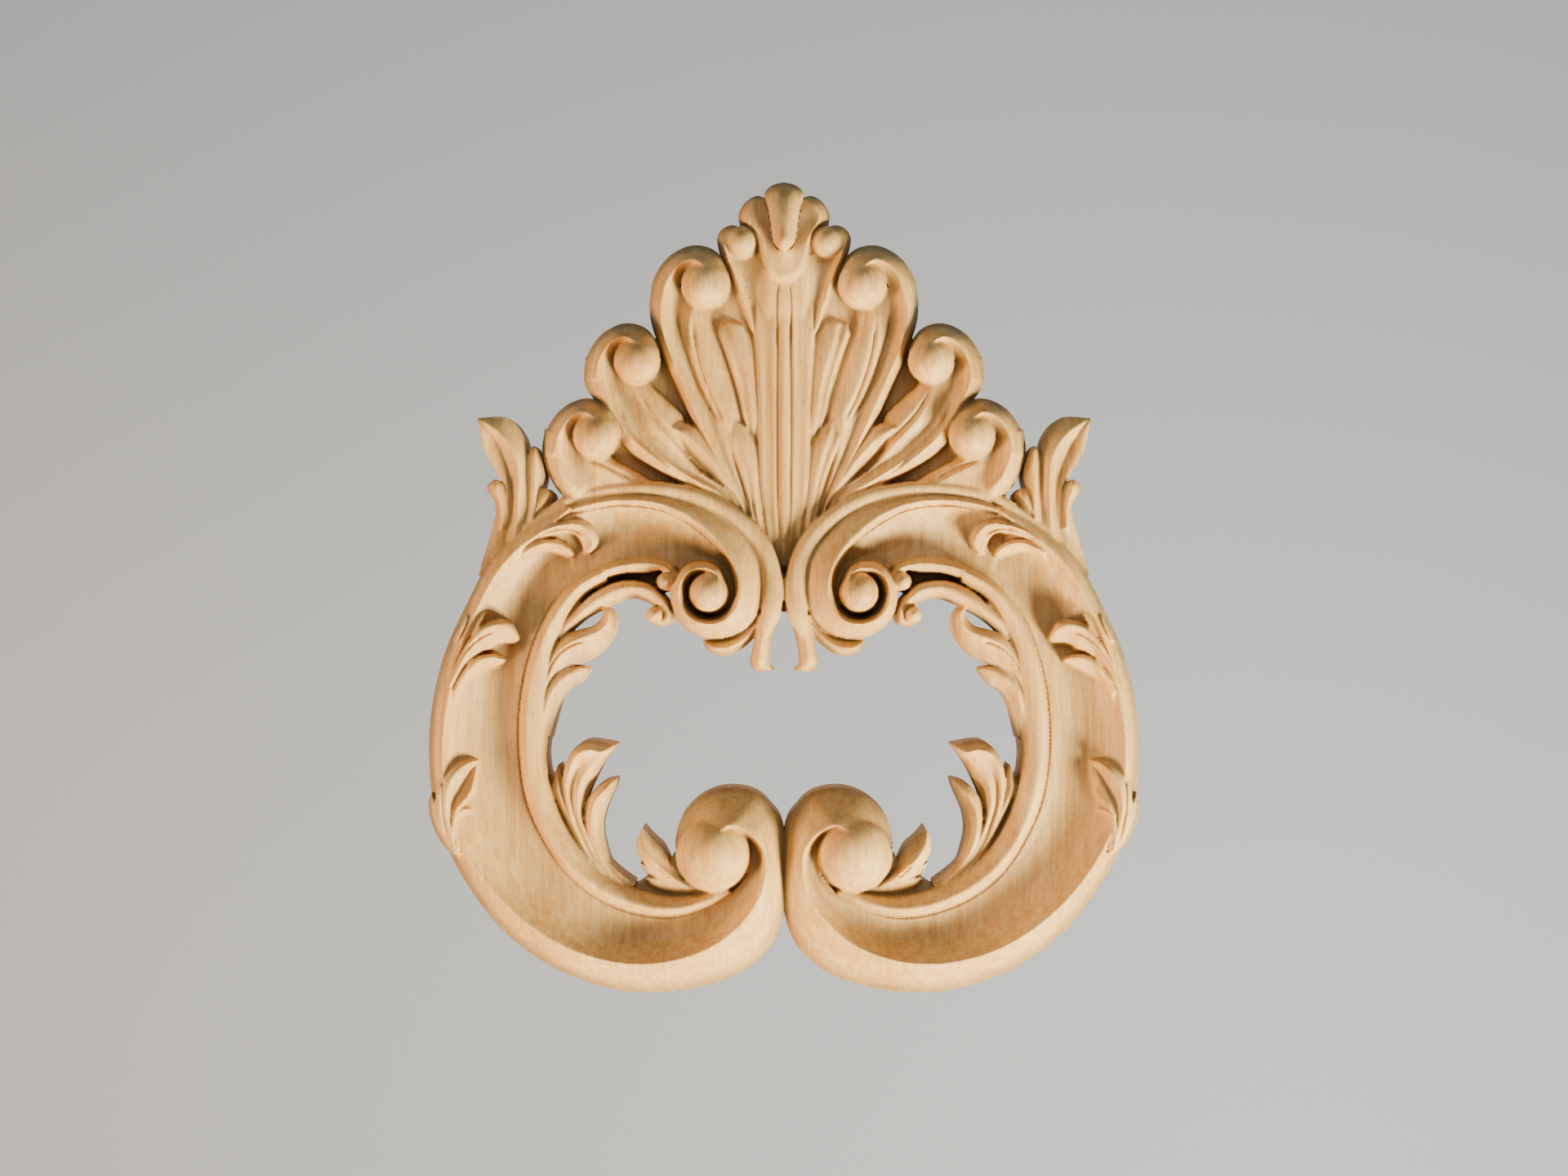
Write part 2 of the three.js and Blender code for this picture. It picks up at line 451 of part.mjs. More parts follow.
// Leaves lie on the cove, reach into the opening, and one sprig grows up outside each scroll.
const coveLeaves = [
  [
    [[320, -68, 17.5], [305, -55, 18], [288, -45, 18.5], [270, -39.5, 18.5], [254, -37, 18],
      [241, -40, 17.5], [232, -48, 17], [227, -60, 17], [229, -69, 16.5], [238, -78, 16.5]],
    [[318, -68, 17.8], [303, -57, 19], [287, -48.5, 19.5], [270, -44, 19.5], [256, -43, 19.5],
      [246, -47, 19.5], [238, -55, 19.5], [235, -64, 19], [237, -71, 18.5], [241, -77, 17]],
    [[315, -70, 17], [300, -60.5, 17], [285, -57, 17], [270, -53.5, 17], [261, -53.5, 16.5],
      [254, -57, 16.5], [250, -63, 16.5], [247, -70, 16.5], [245, -75, 16.5], [242, -78, 16.5]],
  ],
  [
    [[320, -76, 17], [308, -68, 17.5], [295, -61.5, 17.5], [280, -61, 17], [268, -66, 16.5],
      [260, -73, 16], [256, -81, 15.5]],
    [[320, -79, 17.5], [308, -72, 18.5], [294, -67, 18.5], [280, -67, 18.5], [270, -71, 18],
      [263, -77, 17], [258, -81, 15.5]],
    [[320, -86, 16], [308, -78, 16], [294, -75, 16], [282, -76, 16], [273, -79, 15.5], [264, -82, 15],
      [260, -82.5, 15]],
  ],
  [
    [[411, -240, 19], [400, -212, 19.5], [388, -188, 20], [375, -170, 20], [362, -162, 19.5],
      [347, -159.5, 19], [335, -162, 18], [328, -171, 17], [323, -182, 15.5]],
    [[408, -238, 19.5], [396, -214, 20.5], [384, -194, 20.5], [370, -177, 20.5], [357, -169, 20.5],
      [345, -168, 20], [336, -173, 19], [330, -179, 17.5], [324, -183, 15.5]],
    [[404, -238, 18.5], [392, -218, 18], [380, -206, 18], [368, -198, 17.5], [358, -194, 17],
      [350, -189, 16.5], [340, -187, 16], [331, -187.5, 15.5], [325, -185, 15.5]],
  ],
  [
    [[405, -245, 18.5], [394, -223, 18.5], [382, -208, 18.5], [368, -201, 18], [356, -201, 17.5],
      [347, -204, 16.5], [340, -208, 15]],
    [[404, -252, 18.5], [393, -232, 19], [380, -218, 19], [367, -210, 18.5], [356, -208, 18],
      [347, -208, 17], [341, -209, 15]],
    [[404, -262, 17.5], [392, -243, 17], [380, -230, 16.5], [370, -224, 16], [360, -219, 15.5],
      [350, -215, 15], [341, -209.5, 15]],
  ],
  [
    [[404, -445, 18], [413, -415, 18.5], [419, -390, 19], [420, -372, 19], [417, -356, 19],
      [409, -343, 18], [398, -334, 16.5], [386, -330.5, 15], [374.5, -330.2, 13.5]],
    [[402, -443, 19], [409, -415, 20], [413, -392, 20.5], [412, -374, 20.5], [407, -358, 20],
      [399, -346, 19], [390, -338, 17.5], [382, -333.5, 15.8], [374.3, -330.6, 13.7]],
    [[400, -442, 18.5], [406, -415, 18.2], [408, -397, 18], [403, -382, 17], [397, -370, 16],
      [391, -358, 15], [385, -348, 14.3], [379, -339, 13.8], [374.1, -331, 13.5]],
    [[398, -441, 19], [403, -415, 19.5], [405, -400, 20], [398, -388, 19.8], [388, -377, 18.8],
      [381, -365, 17.5], [378, -352, 16.3], [376, -341, 15], [374, -331.5, 13.6]],
    [[395, -440, 17], [399, -415, 16], [401, -402, 15.5], [393, -390, 14.5], [384, -380, 13],
      [377.5, -367, 12], [375.5, -353, 12], [374.8, -342, 12.3], [373.8, -332, 12.8]],
  ],
  [
    [[417, -425, 17], [424, -400, 18], [426, -380, 18.5], [424.5, -364, 18.5], [419, -352, 18]],
    [[414, -425, 19], [420, -400, 20], [421, -382, 20.3], [420.5, -367, 20], [418.5, -353, 18.3]],
    [[411, -425, 18], [416, -400, 18.5], [417, -384, 18.5], [417, -369, 18.5], [417.5, -354, 17.8]],
  ],
  [
    [[399, -450, 17], [404, -437, 17.5], [408, -420, 18], [408.5, -406, 18], [405, -395, 18],
      [398, -389, 17.5], [389, -388, 16], [383, -391, 14.5]],
    [[398.5, -450, 18], [402.5, -437, 19], [405, -420, 19.8], [404, -408, 20], [400, -399, 19.5],
      [393, -394, 18.3], [387, -392, 16.8], [382.3, -392.5, 14.7]],
    [[398, -451, 16.5], [400.5, -438, 16], [400.5, -424, 15.5], [398.5, -413, 15], [394, -405, 14.2],
      [389, -400.5, 13.5], [384.5, -398.5, 13], [381.8, -395, 13]],
  ],
  [
    [[431, -370, 14], [435, -380, 10.5], [434.5, -395, 10], [430, -411, 10], [420, -431, 10],
      [407, -446, 10]],
    [[430.5, -371, 15.5], [430, -381, 17.5], [428, -395, 18.5], [423, -410, 19], [413, -430, 19],
      [400, -446, 19]],
    [[430, -372, 14.5], [426, -382, 16.5], [421, -395, 17.5], [415, -410, 18.5], [406, -430, 18.5],
      [394, -446, 18.5]],
  ],
];
const openingLeaves = [
  [
    [[294, -245, 14.5], [292, -226, 15], [286, -204, 15], [277, -187, 14.5], [264, -175, 14],
      [248, -170, 13.5], [234, -166, 13.5], [224, -157, 13.5], [222, -148, 13.5], [225, -142, 13.5]],
    [[292, -246, 15.5], [288, -226, 17], [279, -206, 17.5], [267, -193, 17.5], [254, -184, 17.5],
      [240, -179, 17.5], [226, -173, 18], [216, -162, 18.5], [216, -150, 18], [223, -141, 15]],
    [[289, -256, 14.5], [282, -236, 14.5], [270, -223, 14.5], [258, -216, 14], [244, -211, 13.5],
      [229, -202, 13], [216, -189, 12.5], [208, -172, 12.5], [208, -154, 12.5], [220, -141, 13]],
  ],
  [
    [[296, -268, 15], [291, -248, 15.5], [281, -231, 15.5], [268, -221, 15], [254, -216, 14.5],
      [239, -219, 13]],
    [[293, -280, 15.5], [288, -258, 16.5], [278, -241, 16.5], [266, -231, 16], [253, -225, 15],
      [240, -220, 13]],
    [[287, -305, 13], [281, -280, 13], [274, -258, 13], [263, -244, 13], [250, -236, 13],
      [239, -221, 13]],
  ],
  [
    [[214, -480, 12.6], [242, -446, 13], [260, -412, 13.5], [269, -378, 14], [271, -352, 14],
      [266, -331, 14], [256, -315, 13.5], [242, -307, 13], [225, -308, 13], [206, -312.5, 15]],
    [[211, -480.4, 13.2], [239, -446, 14], [256, -412, 15.5], [265, -380, 16.5], [266, -355, 17.5],
      [261, -337, 18.5], [254, -324, 19.5], [240, -318, 20], [224, -321, 19.5], [206, -313, 15.5]],
    [[208, -480.8, 13], [236, -446, 13.8], [252, -412, 14], [260, -385, 14.5], [260, -360, 15],
      [255, -345, 15.5], [247, -334, 16.5], [236, -328, 17.5], [222, -325, 18], [206, -313, 15.5]],
    [[204, -481.2, 13.4], [232, -447, 15], [246, -412, 16], [253, -385, 17], [251, -362, 17],
      [244, -347, 17], [235, -337, 17.5], [226, -330, 18], [217, -324, 17.5], [206, -313, 15.5]],
    [[198, -482, 12.4], [222, -456, 13], [238, -428, 13], [246, -403, 12.5], [243, -382, 12.5],
      [236, -364, 12.5], [229, -349, 12.5], [222, -336, 12.5], [214, -324, 13], [206, -314, 14]],
  ],
  [
    [[238, -456, 11.8], [254, -430, 12], [268, -403, 12], [278, -382, 12], [285, -364, 12],
      [283, -353, 12], [276, -334, 13]],
    [[235, -455, 12.8], [251, -430, 14], [263, -403, 15], [272, -383, 15.5], [277, -365, 15],
      [277, -350, 14.5], [276, -334.5, 13]],
    [[232, -454, 12.4], [248, -430, 13], [258, -403, 13.5], [265, -385, 14], [270, -365, 14],
      [272, -350, 13.5], [276, -335, 13]],
  ],
  [
    [[204, -479, 12.6], [227, -452, 13.5], [240, -430, 13.5], [245, -405, 13.5], [243, -385, 13.5],
      [237, -372, 13.5], [227, -362, 13.5], [216, -356, 13], [205, -354, 13]],
    [[197, -482, 13.6], [220, -455, 15], [232, -430, 16], [236, -408, 16.5], [233, -388, 16.5],
      [227, -376, 17], [219, -368, 16.5], [212, -361, 15], [205, -355, 13.5]],
    [[186, -487, 11], [208, -468, 11], [218, -442, 11], [223, -418, 11.5], [221, -400, 12],
      [216, -385, 12], [210, -372, 12], [206, -362, 12.5], [205, -356, 13]],
  ],
  [
    [[110, -492, 13], [135, -483, 13.5], [155, -470, 14], [170, -458, 14], [180, -442, 13.5],
      [180, -427, 13], [173, -413, 13.5]],
    [[110, -488, 14], [132, -477, 16], [150, -463, 17], [163, -450, 17], [171, -437, 16.5],
      [174, -425, 15.5], [173, -413.5, 13.5]],
    [[110, -482, 12], [125, -474, 12.5], [137, -464, 12.5], [141, -452, 12.5], [149, -437, 12.5],
      [162, -425, 12.5], [172, -414, 13]],
  ],
  [
    [[120, -494, 11.5], [145, -485, 12], [160, -475, 12], [171, -466, 12], [177, -455, 13]],
    [[115, -488, 14], [140, -478, 15], [156, -468, 15], [168, -460, 14.5], [177, -455, 13]],
  ],
  [
    [[80, -490, 12], [110, -495, 11.5], [135, -495, 11.5], [154, -489, 11.5], [164, -482, 12],
      [169.5, -475, 12.5]],
    [[85, -480, 14], [110, -486, 14.5], [132, -482, 14.5], [148, -477, 14.5], [160, -474, 14],
      [169, -474, 12.5]],
  ],
  [
    [[115, -482, 13], [127, -476, 13], [135, -468, 13], [139, -458, 13], [138, -450, 12.5]],
    [[110, -475, 13], [122, -468, 13.5], [128, -460, 13.5], [131, -452, 13], [134, -448, 12.5]],
  ],
];
const sprigLobes = [
  [
    [[372, -95, 9.5], [358, -50, 12], [350, -20, 13], [341, 0, 13.5], [349, 16, 14], [360, 34, 14],
      [368, 50, 14], [372, 68, 14], [376, 87, 13.5]],
    [[352, -90, 10.5], [338, -50, 12], [332, -20, 12.5], [334, 0, 12.5], [338, 20, 12.5],
      [345, 40, 12.5], [354, 58, 12.5], [364, 73, 13.5], [376, 87, 13.5]],
    [[345, -88, 11], [330, -50, 14.5], [327, -20, 16.5], [326, 0, 17], [326, 20, 17], [329, 40, 17],
      [338, 58, 16.5], [353, 73, 15.5], [376, 87, 13.5]],
    [[335, -85, 10.5], [316, -50, 13], [314, -20, 13.5], [314, 0, 13.5], [314, 22, 13],
      [314, 45, 12.5], [320, 68, 12], [338, 88, 12], [376, 88, 13]],
  ],
  [
    [[352, -48, 11], [352, -30, 11], [355, -13, 11], [362, -3, 11], [363, 6, 11], [355, 13, 12]],
    [[346, -48, 14], [346, -30, 15], [348, -14, 16], [352, -2, 16.5], [353, 6, 16], [352, 12.5, 13.5]],
    [[339, -48, 13], [340, -30, 13], [340, -15, 13], [341, -2, 13], [344, 7, 13], [350, 12, 12.5]],
  ],
  [
    [[316, -40, 13], [315, -10, 13], [315, 15, 13], [314, 38, 13], [311, 50, 12.5], [307, 54, 12]],
    [[306, -35, 15], [305, -5, 16], [304, 20, 16], [304, 40, 15.5], [305, 50, 14.5], [306, 54, 12.5]],
    [[300, -15, 12], [296, 3, 12], [293, 15, 12], [295, 32, 12], [300, 46, 12], [305, 54, 12]],
  ],
  [
    [[325, -55, 10], [308, -38, 10.5], [296, -29, 11], [286, -18, 11], [282, -7, 11.5], [289, 2, 12]],
    [[318, -45, 13.5], [306, -30, 15], [299, -18, 16], [294, -9, 16], [291, -3, 15], [291, 2, 13]],
    [[312, -30, 13], [305, -18, 13.5], [303, -10, 14], [301, -3, 13.5], [297, 1, 13], [292, 2.5, 12.5]],
  ],
  [
    [[375, -105, 9], [362, -75, 9], [353, -50, 10], [352, -30, 10], [345, 0, 10]],
    [[362, -100, 11], [345, -65, 12], [338, -40, 12], [336, -15, 12], [330, 5, 12]],
    [[345, -85, 11], [318, -55, 11], [306, -38, 11], [300, -15, 11], [305, 5, 11]],
  ],
];

function foliage(side) {
  const leaves = [...coveLeaves, ...openingLeaves, ...sprigLobes];
  return leaves.map((rails) => ribbon(rails, side));
}

// Every carved form is joined into the one board, and the other half mirrors this one.
const wasm = await Module();
wasm.setup();

function solid(geometry) {
  const vertProperties = new Float32Array(geometry.attributes.position.array);
  const triVerts = new Uint32Array(geometry.index.array);
  return new wasm.Manifold(new wasm.Mesh({ numProp: 3, vertProperties, triVerts }));
}

function turnedInsideOut(geometry) {
  const flipped = geometry.clone();
  const index = flipped.index.array;
  for (let start = 0; start < index.length; start += 3) {
    [index[start], index[start + 1]] = [index[start + 1], index[start]];
  }
  return flipped;
}

function signedVolume(geometry) {
  const position = geometry.attributes.position;
  const corner = (at) => new THREE.Vector3().fromBufferAttribute(position, geometry.index.array[at]);
  let volume = 0;
  for (let start = 0; start < geometry.index.count; start += 3) {
    volume += corner(start).dot(corner(start + 1).cross(corner(start + 2))) / 6;
  }
  return volume;
}

// Slivers thinner than this, left where two forms cross, are closed up.
const SLIVER = 0.06;

function carve() {
  const forms = [-1, 1].flatMap((side) => [...palmette(side), ...scroll(side), ...foliage(side)]);
  const facingOut = forms.map((form) => (signedVolume(form) < 0 ? turnedInsideOut(form) : form));
  const joined = facingOut.map(solid).reduce((whole, form) => whole.add(form));
  return joined.asOriginal().simplify(SLIVER);
}

function boardGeometry() {
  const mesh = carve().getMesh();
  const geometry = new THREE.BufferGeometry();
  geometry.setAttribute('position', new THREE.BufferAttribute(mesh.vertProperties, 3));
  geometry.setIndex(new THREE.BufferAttribute(mesh.triVerts, 1));
  return geometry;
}

const beech = new THREE.MeshStandardMaterial({
  color: 0xd2ab7c,
  roughness: 0.62,
  metalness: 0,
  flatShading: true,
});

const applique = new THREE.Mesh(boardGeometry(), beech);
applique.name = 'applique';

const part = new THREE.Group();
part.add(applique);

export default part;
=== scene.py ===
"""A furniture applique carved from one board: a palmette over a pair of C-scrolls."""
import math

import bmesh
import bpy
import numpy as np
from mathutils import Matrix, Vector
from mathutils.bvhtree import BVHTree


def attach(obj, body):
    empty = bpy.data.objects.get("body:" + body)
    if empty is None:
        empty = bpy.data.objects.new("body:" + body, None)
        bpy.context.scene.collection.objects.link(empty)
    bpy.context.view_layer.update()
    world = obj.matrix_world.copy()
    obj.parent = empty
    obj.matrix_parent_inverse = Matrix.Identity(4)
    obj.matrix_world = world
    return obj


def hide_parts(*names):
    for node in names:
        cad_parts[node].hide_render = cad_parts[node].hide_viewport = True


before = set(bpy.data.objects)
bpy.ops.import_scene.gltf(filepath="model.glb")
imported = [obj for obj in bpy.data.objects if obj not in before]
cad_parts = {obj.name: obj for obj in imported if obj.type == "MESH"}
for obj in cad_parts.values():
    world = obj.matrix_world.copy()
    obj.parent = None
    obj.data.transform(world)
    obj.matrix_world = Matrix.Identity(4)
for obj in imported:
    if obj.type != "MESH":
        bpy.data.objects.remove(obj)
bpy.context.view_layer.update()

# The board. One plank of light beech, sawn flat at the back. The design is drawn on its face:
# reach outwards from the middle line and rise upwards in quarter millimetres, height of the relief
# above the back in millimetres. Near things are drawn larger, as an eye before the board sees them.
ACROSS = 0.220 / 880
UPWARDS = 0.250 / 999
EYE_RISE = -120
EYE_PLANE = 15
EYE_DISTANCE = 579.5
relief = []


def on_board(reach, rise, height):
    """A drawn point's true place in metres."""
    nearness = 1 - (height - EYE_PLANE) / EYE_DISTANCE
    return np.stack([reach * nearness * ACROSS, -height / 1000,
                     (EYE_RISE + (rise - EYE_RISE) * nearness) * UPWARDS], axis=-1)


def drawn_line(points, count):
    """A smooth line through drawn points, with count places along it."""
    p = np.array(points, float)
    p = np.vstack([2 * p[0] - p[1], p, 2 * p[-1] - p[-2]])
    t = np.linspace(0, len(p) - 3, count)
    i = np.minimum(t.astype(int), len(p) - 4)
    w = (t - i)[:, None]
    a, b, c, d = p[i], p[i + 1], p[i + 2], p[i + 3]
    gap = [np.sqrt(np.linalg.norm(v[:, :3], axis=1))[:, None] for v in (b - a, c - b, d - c)]
    gap = [np.maximum(g, 1e-3) for g in gap]
    lead = ((b - a) / gap[0] - (c - a) / (gap[0] + gap[1]) + (c - b) / gap[1]) * gap[1]
    trail = ((c - b) / gap[1] - (d - b) / (gap[1] + gap[2]) + (d - c) / gap[2]) * gap[1]
    return (b + lead * w + (3 * (c - b) - 2 * lead - trail) * w ** 2
            + (2 * (b - c) + lead + trail) * w ** 3)


def keep(points, corners):
    """Adds triangles to the relief, numbered on from those already there."""
    relief.append((points, sum(len(kept) for kept, _ in relief) + corners))


def carve(surface):
    """Keeps a grid of surface points as triangles of the relief."""
    rows, columns = surface.shape[:2]
    at = np.arange(rows * columns).reshape(rows, columns)
    a, b, c, d = at[:-1, :-1], at[:-1, 1:], at[1:, 1:], at[1:, :-1]
    corners = np.stack([a, b, c, a, c, d], axis=-1).reshape(-1, 3)
    keep(surface.reshape(-1, 3), corners)


RIBBON_STEPS = 6


def ribbon(rails, swell=()):
    """A face lofted over its edges, crests and valleys; swell rounds or hollows each gap."""
    count = (len(rails[0]) - 1) * RIBBON_STEPS + 1
    lines = [drawn_line(rail, count) for rail in rails]
    surface = [lines[0]]
    for gap in range(len(lines) - 1):
        bulge = swell[gap] if gap < len(swell) else 0
        for share in np.linspace(0, 1, RIBBON_STEPS + 1)[1:]:
            between = lines[gap] * (1 - share) + lines[gap + 1] * share
            between[:, 2] += bulge * 4 * share * (1 - share)
            surface.append(between)
    carve(np.stack(surface, axis=1))


def ball(centre, radius, edge, top):
    """A round boss, with its edge and its top at their own heights."""
    turn = np.linspace(0, 2 * np.pi, 49)
    tilt = np.linspace(0, np.pi / 2, 13)[:, None]
    carve(np.stack([centre[0] + radius * np.cos(tilt) * np.cos(turn),
                    centre[1] + radius * np.cos(tilt) * np.sin(turn),
                    (edge + (top - edge) * np.sin(tilt)) * np.ones_like(turn)], axis=-1))


# The palmette. Three pairs of blades fan out beside a ribbed middle leaf, and a hood with a tongue
# closes the top. All are cut from the board itself, over a lower ground that ties them together.
palmette_web = [
  [[34, 330, 9], [78, 240, 9], [140, 180, 9], [210, 120, 9], [255, 40, 9], [250, -20, 9]],
  [[-1, 330, 9], [-1, 240, 9], [-1, 160, 9], [-1, 80, 9], [-1, 0, 9], [-1, -150, 9]],
]
leaf_ground = [
  [[50, 322, 16.5], [76, 262, 14.5], [90, 210, 14], [70, 150, 13.5], [66, 88, 13.5], [62, 22, 14.5],
    [44, -44, 14]],
  [[20, 322, 17], [30, 260, 15.5], [30, 205, 15], [30, 150, 14.5], [30, 85, 14.5], [28, 20, 14.5],
    [20, -48, 14]],
]
ribbed_leaf = [
  [[42, 240, 13.5], [40, 205, 15], [38, 170, 15], [36, 130, 15], [34, 80, 15], [32, 10, 15],
    [24, -50, 14.5], [14, -80, 13.5]],
  [[35, 240, 16], [33, 205, 17.6], [31, 170, 18], [29, 130, 18], [27, 80, 18], [25, 10, 17.5],
    [19, -50, 16.5], [11, -83, 14]],
  [[11, 240, 17], [11, 205, 18.4], [11, 170, 18.5], [12, 130, 18.5], [12, 80, 18.5], [11, 10, 18],
    [9, -50, 17], [5, -88, 14.5]],
  [[8, 240, 16.5], [8, 205, 17], [8.5, 170, 17], [9, 130, 17], [9, 80, 17], [8.5, 10, 16.5],
    [7, -50, 16], [4, -90, 14]],
  [[4, 240, 17.2], [4, 205, 18.2], [4, 170, 18.4], [4.5, 130, 18.4], [4.5, 80, 18.4], [4, 10, 18],
    [3.5, -50, 17.2], [2, -95, 14.4]],
  [[-1, 240, 17.4], [-1, 205, 18.5], [-1, 170, 18.8], [-1, 130, 18.8], [-1, 80, 18.8], [-1, 10, 18.4],
    [-1, -50, 17.6], [-1, -100, 14.5]],
]
hood_wing = [
  [[22, 357, 14], [33, 360, 13.5], [44, 355, 13], [53, 344, 13], [56, 333, 13], [50, 327, 14],
    [40, 321, 15], [34, 308, 16], [31, 291, 16], [28, 278, 16.3], [23, 266, 17], [13, 256, 17.8],
    [-1, 252, 18]],
  [[21, 354, 16], [30, 353, 17.5], [37, 348, 18.5], [42, 340, 19], [43, 331, 19.5], [38, 323, 20],
    [33, 313, 20.5], [29, 302, 20.8], [26, 290, 21], [22, 279, 21.2], [17, 271, 21.3], [9, 265, 21.3],
    [-1, 263, 21.3]],
  [[20, 350, 17], [19, 344, 17.3], [18, 338, 17.6], [17, 330, 17.9], [16, 322, 18.2], [15, 314, 18.6],
    [12, 305, 19], [8, 300, 20.5], [6, 297, 21.8], [4, 296, 22.4], [2, 295.5, 22.6], [1, 295, 22.8],
    [-1, 295, 22.8]],
]
hood_body = [
  [[62, 284, 15.5], [55, 265, 15.8], [47, 248, 16], [41, 228, 16], [36, 208, 15], [33, 175, 13]],
  [[28, 290, 17.5], [27, 270, 18], [26, 250, 18.3], [25, 230, 18.3], [24, 208, 17.4], [24, 175, 15.5]],
  [[-1, 300, 19], [-1, 275, 19], [-1, 255, 19], [-1, 235, 18.8], [-1, 210, 18.2], [-1, 175, 16.5]],
]
tongue = [
  [[3, 376, 12], [14, 373, 14], [24, 363, 16], [20, 345, 19], [17, 330, 20.5], [15, 315, 21.5],
    [12, 302, 22.5], [5, 295, 23]],
  [[-1, 377, 13], [-1, 374, 16], [-1, 366, 19.5], [-1, 350, 22.5], [-1, 334, 24.5], [-1, 318, 26],
    [-1, 305, 27], [-1, 295, 25]],
]
bud_stem = [
  [[82, 308, 13], [80, 297, 13.5], [75, 286, 14], [68, 272, 14.5], [63, 257, 14.5], [56, 238, 14.5],
    [49, 218, 14.5], [42, 198, 14.5]],
  [[77, 313, 17], [73, 297, 18.5], [68, 282, 19], [61, 265, 19], [55, 248, 19], [49, 230, 18.5],
    [43, 212, 18.5], [38, 192, 18]],
  [[67, 315, 17], [66, 297, 16.5], [61, 282, 16], [54, 268, 16], [48, 250, 16], [42, 230, 16],
    [36, 210, 16], [32, 190, 16]],
]
upper_lobe = [
  [[82, 190, 15], [77, 178, 15.5], [68, 153, 15], [58, 120, 14.5], [50, 85, 14], [44, 60, 12.5]],
  [[77, 203, 16], [70, 182, 17.3], [61, 153, 17.3], [52, 120, 16.8], [46, 85, 16.3], [41, 60, 14]],
  [[66, 206.5, 16.5], [61, 182, 18], [52, 153, 18.3], [44, 120, 18], [40, 85, 17.5], [37, 60, 15]],
  [[53, 203, 16.2], [48, 181, 17.2], [42, 153, 17.4], [37, 120, 17.2], [34, 85, 17], [32, 60, 15]],
  [[41, 190, 15.3], [37, 178, 16], [33, 153, 16], [31, 120, 16], [29, 85, 16], [28, 60, 15]],
]
lower_lobe = [
  [[73, 76, 15], [70, 62, 15.3], [61, 38, 15], [50, 8, 14.8], [41, -35, 14], [30, -62, 12.5]],
  [[71, 85, 15.8], [65, 65, 17], [54, 38, 17], [45, 8, 16.7], [37, -35, 16], [28, -62, 13.5]],
  [[61, 86.5, 16.3], [55, 65, 17.8], [46, 38, 18], [39, 8, 17.5], [33, -35, 17], [25, -62, 14.5]],
  [[51, 81, 15.8], [44, 62, 17], [38, 38, 17.2], [34, 8, 17], [29, -35, 16.6], [22, -62, 14.3]],
  [[44, 74, 14.8], [34, 57, 15.7], [31, 38, 16], [29, 8, 16], [26, -35, 16], [20, -62, 14]],
]
side_lobe = [
  [[149, 81, 14], [134, 81, 15], [115, 81, 15.5], [92, 55, 15], [70, 20, 14.5], [48, -22, 13.5]],
  [[148, 79, 14.5], [132, 72, 18], [115, 60, 18.5], [92, 38, 18], [72, 10, 17], [49, -25, 15]],
  [[149, 78, 13], [138, 65, 13], [122, 44, 13], [98, 20, 13], [75, -6, 13], [52, -32, 13]],
]
upper_blade = [
  [[162, 250, 11], [164, 212, 11], [152, 172, 11.5], [135, 132, 12], [114, 85, 13], [92, 44, 13],
    [57, -15, 13], [40, -48, 12.5]],
  [[148, 248, 20], [151, 210, 20], [141, 172, 20], [124, 134, 19.5], [103, 87, 19], [84, 47, 17.5],
    [53, -13, 16], [38, -47, 13.5]],
  [[128, 248, 15], [132, 210, 15.5], [126, 170, 16], [112, 132, 16], [92, 89, 16], [77, 50, 15.5],
    [50, -12, 15], [36, -46, 13.3]],
  [[100, 250, 16], [115, 208, 18.5], [108, 168, 19], [98, 132, 18.5], [76, 92, 18], [68, 47, 16.5],
    [47, -13, 15.5], [34, -46, 13.3]],
  [[75, 250, 12], [88, 210, 14], [72, 170, 14], [58, 132, 13.5], [49, 90, 13], [59, 40, 12.5],
    [43, -20, 12.5], [31, -50, 12.3]],
]
middle_blade = [
  [[243, 163, 11], [244, 130, 11], [225, 100, 11.5], [195, 52, 12.5], [160, 27, 13], [120, 5, 13],
    [75, -15, 13], [60, -42, 12.5]],
  [[227, 157, 20], [227, 130, 20], [212, 100, 19.5], [185, 63, 19.5], [152, 38, 19], [113, 15, 18],
    [72, -8, 16], [58, -38, 13.5]],
  [[210, 157, 15], [208, 134, 15.5], [194, 102, 16], [175, 73, 16], [144, 48, 16], [107, 20, 15.5],
    [70, -5, 15], [56, -36, 13.3]],
  [[182, 160, 16], [188, 135, 17.5], [175, 106, 18.5], [162, 83, 18.5], [135, 55, 17.5],
    [102, 23, 16.5], [67, -3, 15.5], [54, -35, 13.3]],
  [[157, 170, 12], [165, 134, 13], [145, 112, 13.5], [122, 88, 14], [122, 47, 14.5], [95, 17, 14],
    [63, -5, 14], [50, -38, 12.3]],
]
lower_blade = [
  [[293, 75, 11], [296, 45, 11], [285, 12, 11.5], [270, -9, 12], [255, -26, 12]],
  [[276, 68, 20], [277, 45, 20], [268, 19, 19.5], [253, 0, 18], [240, -16, 14]],
  [[260, 65, 15], [257, 45, 15.5], [245, 22, 16], [225, 3, 16], [214, -14, 14]],
  [[232, 65, 16], [235, 42, 17], [220, 23, 17], [195, 5, 16], [188, -12, 14]],
  [[208, 80, 12], [212, 42, 13], [188, 26, 13.5], [160, 8, 13.5], [155, -8, 13]],
]
ribbon(palmette_web)
ribbon(leaf_ground)
ribbon(ribbed_leaf, swell=(0.4, -0.5))
ribbon(hood_body, swell=(-0.8, 0))
ribbon(hood_wing, swell=(0.8, -0.5))
ribbon(tongue, swell=(1.5,))
ribbon(bud_stem, swell=(1, -0.5))
